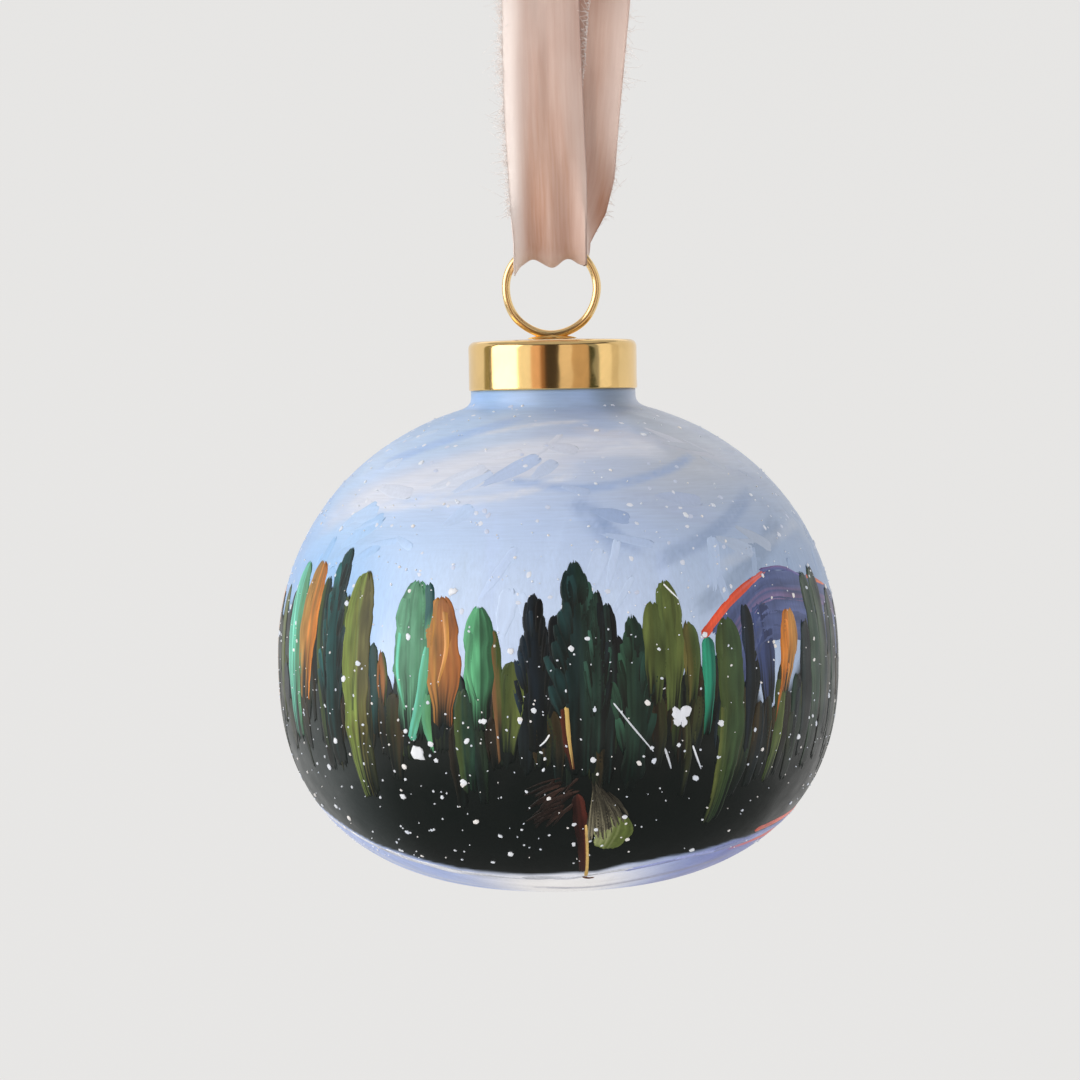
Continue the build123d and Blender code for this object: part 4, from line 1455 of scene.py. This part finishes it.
def place_camera():
    data = bpy.data.cameras.new("portrait")
    data.sensor_width, data.lens = 36, 146.8
    data.clip_start, data.clip_end = 0.05, 30
    camera = bpy.data.objects.new("portrait", data)
    bpy.context.scene.collection.objects.link(camera)
    camera.location = (-0.00178, -0.600, -0.0655)
    tilt = math.atan2(-0.0864 + 0.0655, 0.600)
    camera.rotation_mode = "XYZ"
    camera.rotation_euler = (math.pi / 2 + tilt, math.radians(1.1), 0)
    bpy.context.scene.camera = camera


def bearing(azimuth, distance, height=0.0):
    """A place in metres round the ball. 0 degrees is towards the camera, positive towards +X."""
    a = math.radians(azimuth)
    return (distance * math.sin(a), -distance * math.cos(a), height)


def glow(piece, scale, detail, low, high, strength=1.0, base=0.02, **sockets):
    """A self-lit paint for the stage, whose tone wanders a little between two colours."""
    sockets = {"Roughness": 1.0, "Specular_IOR_Level": 0.0, **sockets}
    s = Shader(piece.name + "_paint", Emission_Strength=strength, Base_Color=(base, base, base, 1), **sockets)
    tone = s.noise(s.place(scale), detail=detail)
    s.link(s.mixed(tone, tuple(low), tuple(high)), "Emission Color")
    piece.data.materials.append(s.material)


def card(name, azimuth, distance, width, height, z, colour, strength):
    """An upright sheet that only reflections see, for the bands in the polished cap."""
    turns = np.linspace(azimuth - width / 2, azimuth + width / 2, 13)
    low = [bearing(a, distance, z - height / 2) for a in turns]
    high = [bearing(a, distance, z + height / 2) for a in turns]
    piece = make_piece(name, np.array(low + high) / MM, grid_quads(2, len(turns), False))
    glow(piece, (0.004, 0.004, 0.006), 3.0, (0.75 * c for c in colour), colour, strength)
    reflected_only(piece)


CARDS = (
    # name, bearing, distance, width in degrees, height, level, colour, strength
    ("window_glow", -60.5, 1.95, 62, 1.9, 0.45, (1.0, 0.97, 0.90), 1.12),
    ("bright_side", 84, 1.95, 36, 2.4, 0.0, (0.76, 0.72, 0.64), 1.0),
    ("left_frame", -101.5, 1.9, 11, 1.6, 0.1, (0.30, 0.28, 0.16), 1.0),
    ("warm_wall", -23, 1.9, 13, 1.8, 0.1, (0.92, 0.60, 0.45), 1.0),
    ("rust_door", -13.5, 1.9, 6, 1.8, 0.1, (0.34, 0.17, 0.09), 1.0),
    ("dark_figure", -1, 1.9, 19, 2.4, 0.0, (0.035, 0.025, 0.02), 1.0),
    ("far_wall", 17.5, 1.95, 18, 2.4, 0.0, (0.90, 0.78, 0.68), 1.0),
    ("far_corner", 38.5, 1.95, 24, 2.4, 0.0, (0.62, 0.46, 0.33), 1.0),
    ("green_plant", 58.5, 1.9, 14, 2.2, 0.0, (0.03, 0.045, 0.02), 1.0),
)


def reflected_only(piece):
    """The piece shows in reflections and nowhere else."""
    piece.visible_camera = False
    piece.visible_diffuse = False
    piece.visible_shadow = False


def dark_floor():
    """A dim round under the ball, so that the varnish on its lower half stays deep."""
    a = np.linspace(0, 2 * math.pi, 48, endpoint=False)[None, :]
    r = np.array((0.02, 0.5, 1.3))[:, None]
    points = np.stack([r * np.sin(a), -r * np.cos(a), -0.85 + 0 * r * a], -1)
    piece = make_piece("dim_floor", points.reshape(-1, 3) / MM, grid_quads(3, 48, True))
    glow(piece, (0.003, 0.003, 0.003), 2.0, (0.10, 0.10, 0.10), (0.16, 0.155, 0.15))
    reflected_only(piece)


def area_light(name, azimuth, distance, z, size, power, colour=(1, 1, 1)):
    data = bpy.data.lights.new(name, "AREA")
    data.shape, data.size, data.size_y = "RECTANGLE", size[0], size[1]
    data.energy, data.color = power, colour
    light = bpy.data.objects.new(name, data)
    bpy.context.scene.collection.objects.link(light)
    light.location = bearing(azimuth, distance, z)
    aim = np.array((0, 0, -0.09)) - np.array(light.location)
    light.rotation_mode = "XYZ"
    light.rotation_euler = (math.acos(-aim[2] / np.linalg.norm(aim)), 0, math.atan2(aim[1], aim[0]) - math.pi / 2)
    light.visible_camera = False


def build_room():
    """A pale round studio: a floor that turns up into a wall, both a little self-lit so they stay even."""
    floor, radius, cove = -1.0, 3.4, 0.9
    line = [(r, floor) for r in (0.0, 0.8, 1.6, radius - cove)]
    line += [(
        radius - cove + cove * math.sin(t), floor + cove - cove * math.cos(t),
    ) for t in np.linspace(0.2, math.pi / 2, 8)]
    line += [(radius, 1.0), (radius, 2.6)]
    a = np.linspace(0, 2 * math.pi, 64, endpoint=False)[None, :]
    line = np.array(line)
    points = np.stack([line[:, :1] * np.sin(a), -line[:, :1] * np.cos(a), line[:, 1:] + 0 * a], -1)
    room = make_piece("pale_room", points[1:].reshape(-1, 3) / MM, grid_quads(len(line) - 1, 64, True))
    disc = make_piece("pale_floor", np.array([(x, y, floor) for x in (-2, 2) for y in (-2, 2)]) / MM, [(0, 2, 3, 1)])
    for piece in (room, disc):
        tones = srgb(229, 228, 226), srgb(233, 232, 231)
        glow(piece, (0.0006, 0.0006, 0.0006), 1.0, *tones, 0.94, 0.06, Roughness=0.9, Specular_IOR_Level=0.1)


def light_scene():
    scene = bpy.context.scene
    scene.view_settings.view_transform = "Standard"
    world = bpy.data.worlds.new("soft_day")
    world.use_nodes = True
    world.node_tree.nodes["Background"].inputs["Color"].default_value = (*srgb(231, 231, 232), 1)
    world.node_tree.nodes["Background"].inputs["Strength"].default_value = 0.6
    scene.world = world
    build_room()
    area_light("window", -70, 1.6, 0.35, (1.3, 1.5), 13, (1.0, 0.99, 0.97))
    area_light("room_side", 70, 1.8, 0.25, (1.2, 1.4), 1.5, (0.94, 0.96, 1.0))
    area_light("overhead", 180, 1.2, 1.3, (1.6, 1.6), 3)
    card("dim_room", 0, 2.4, 200, 4.8, -0.1, (0.07, 0.065, 0.06), 1.0)
    dark_floor()
    for row in CARDS:
        card(*row)


# ---- The scene ------------------------------------------------------------------------------------------

place_camera()
light_scene()
build_ball()
build_metal()
build_loop()
build_knot()
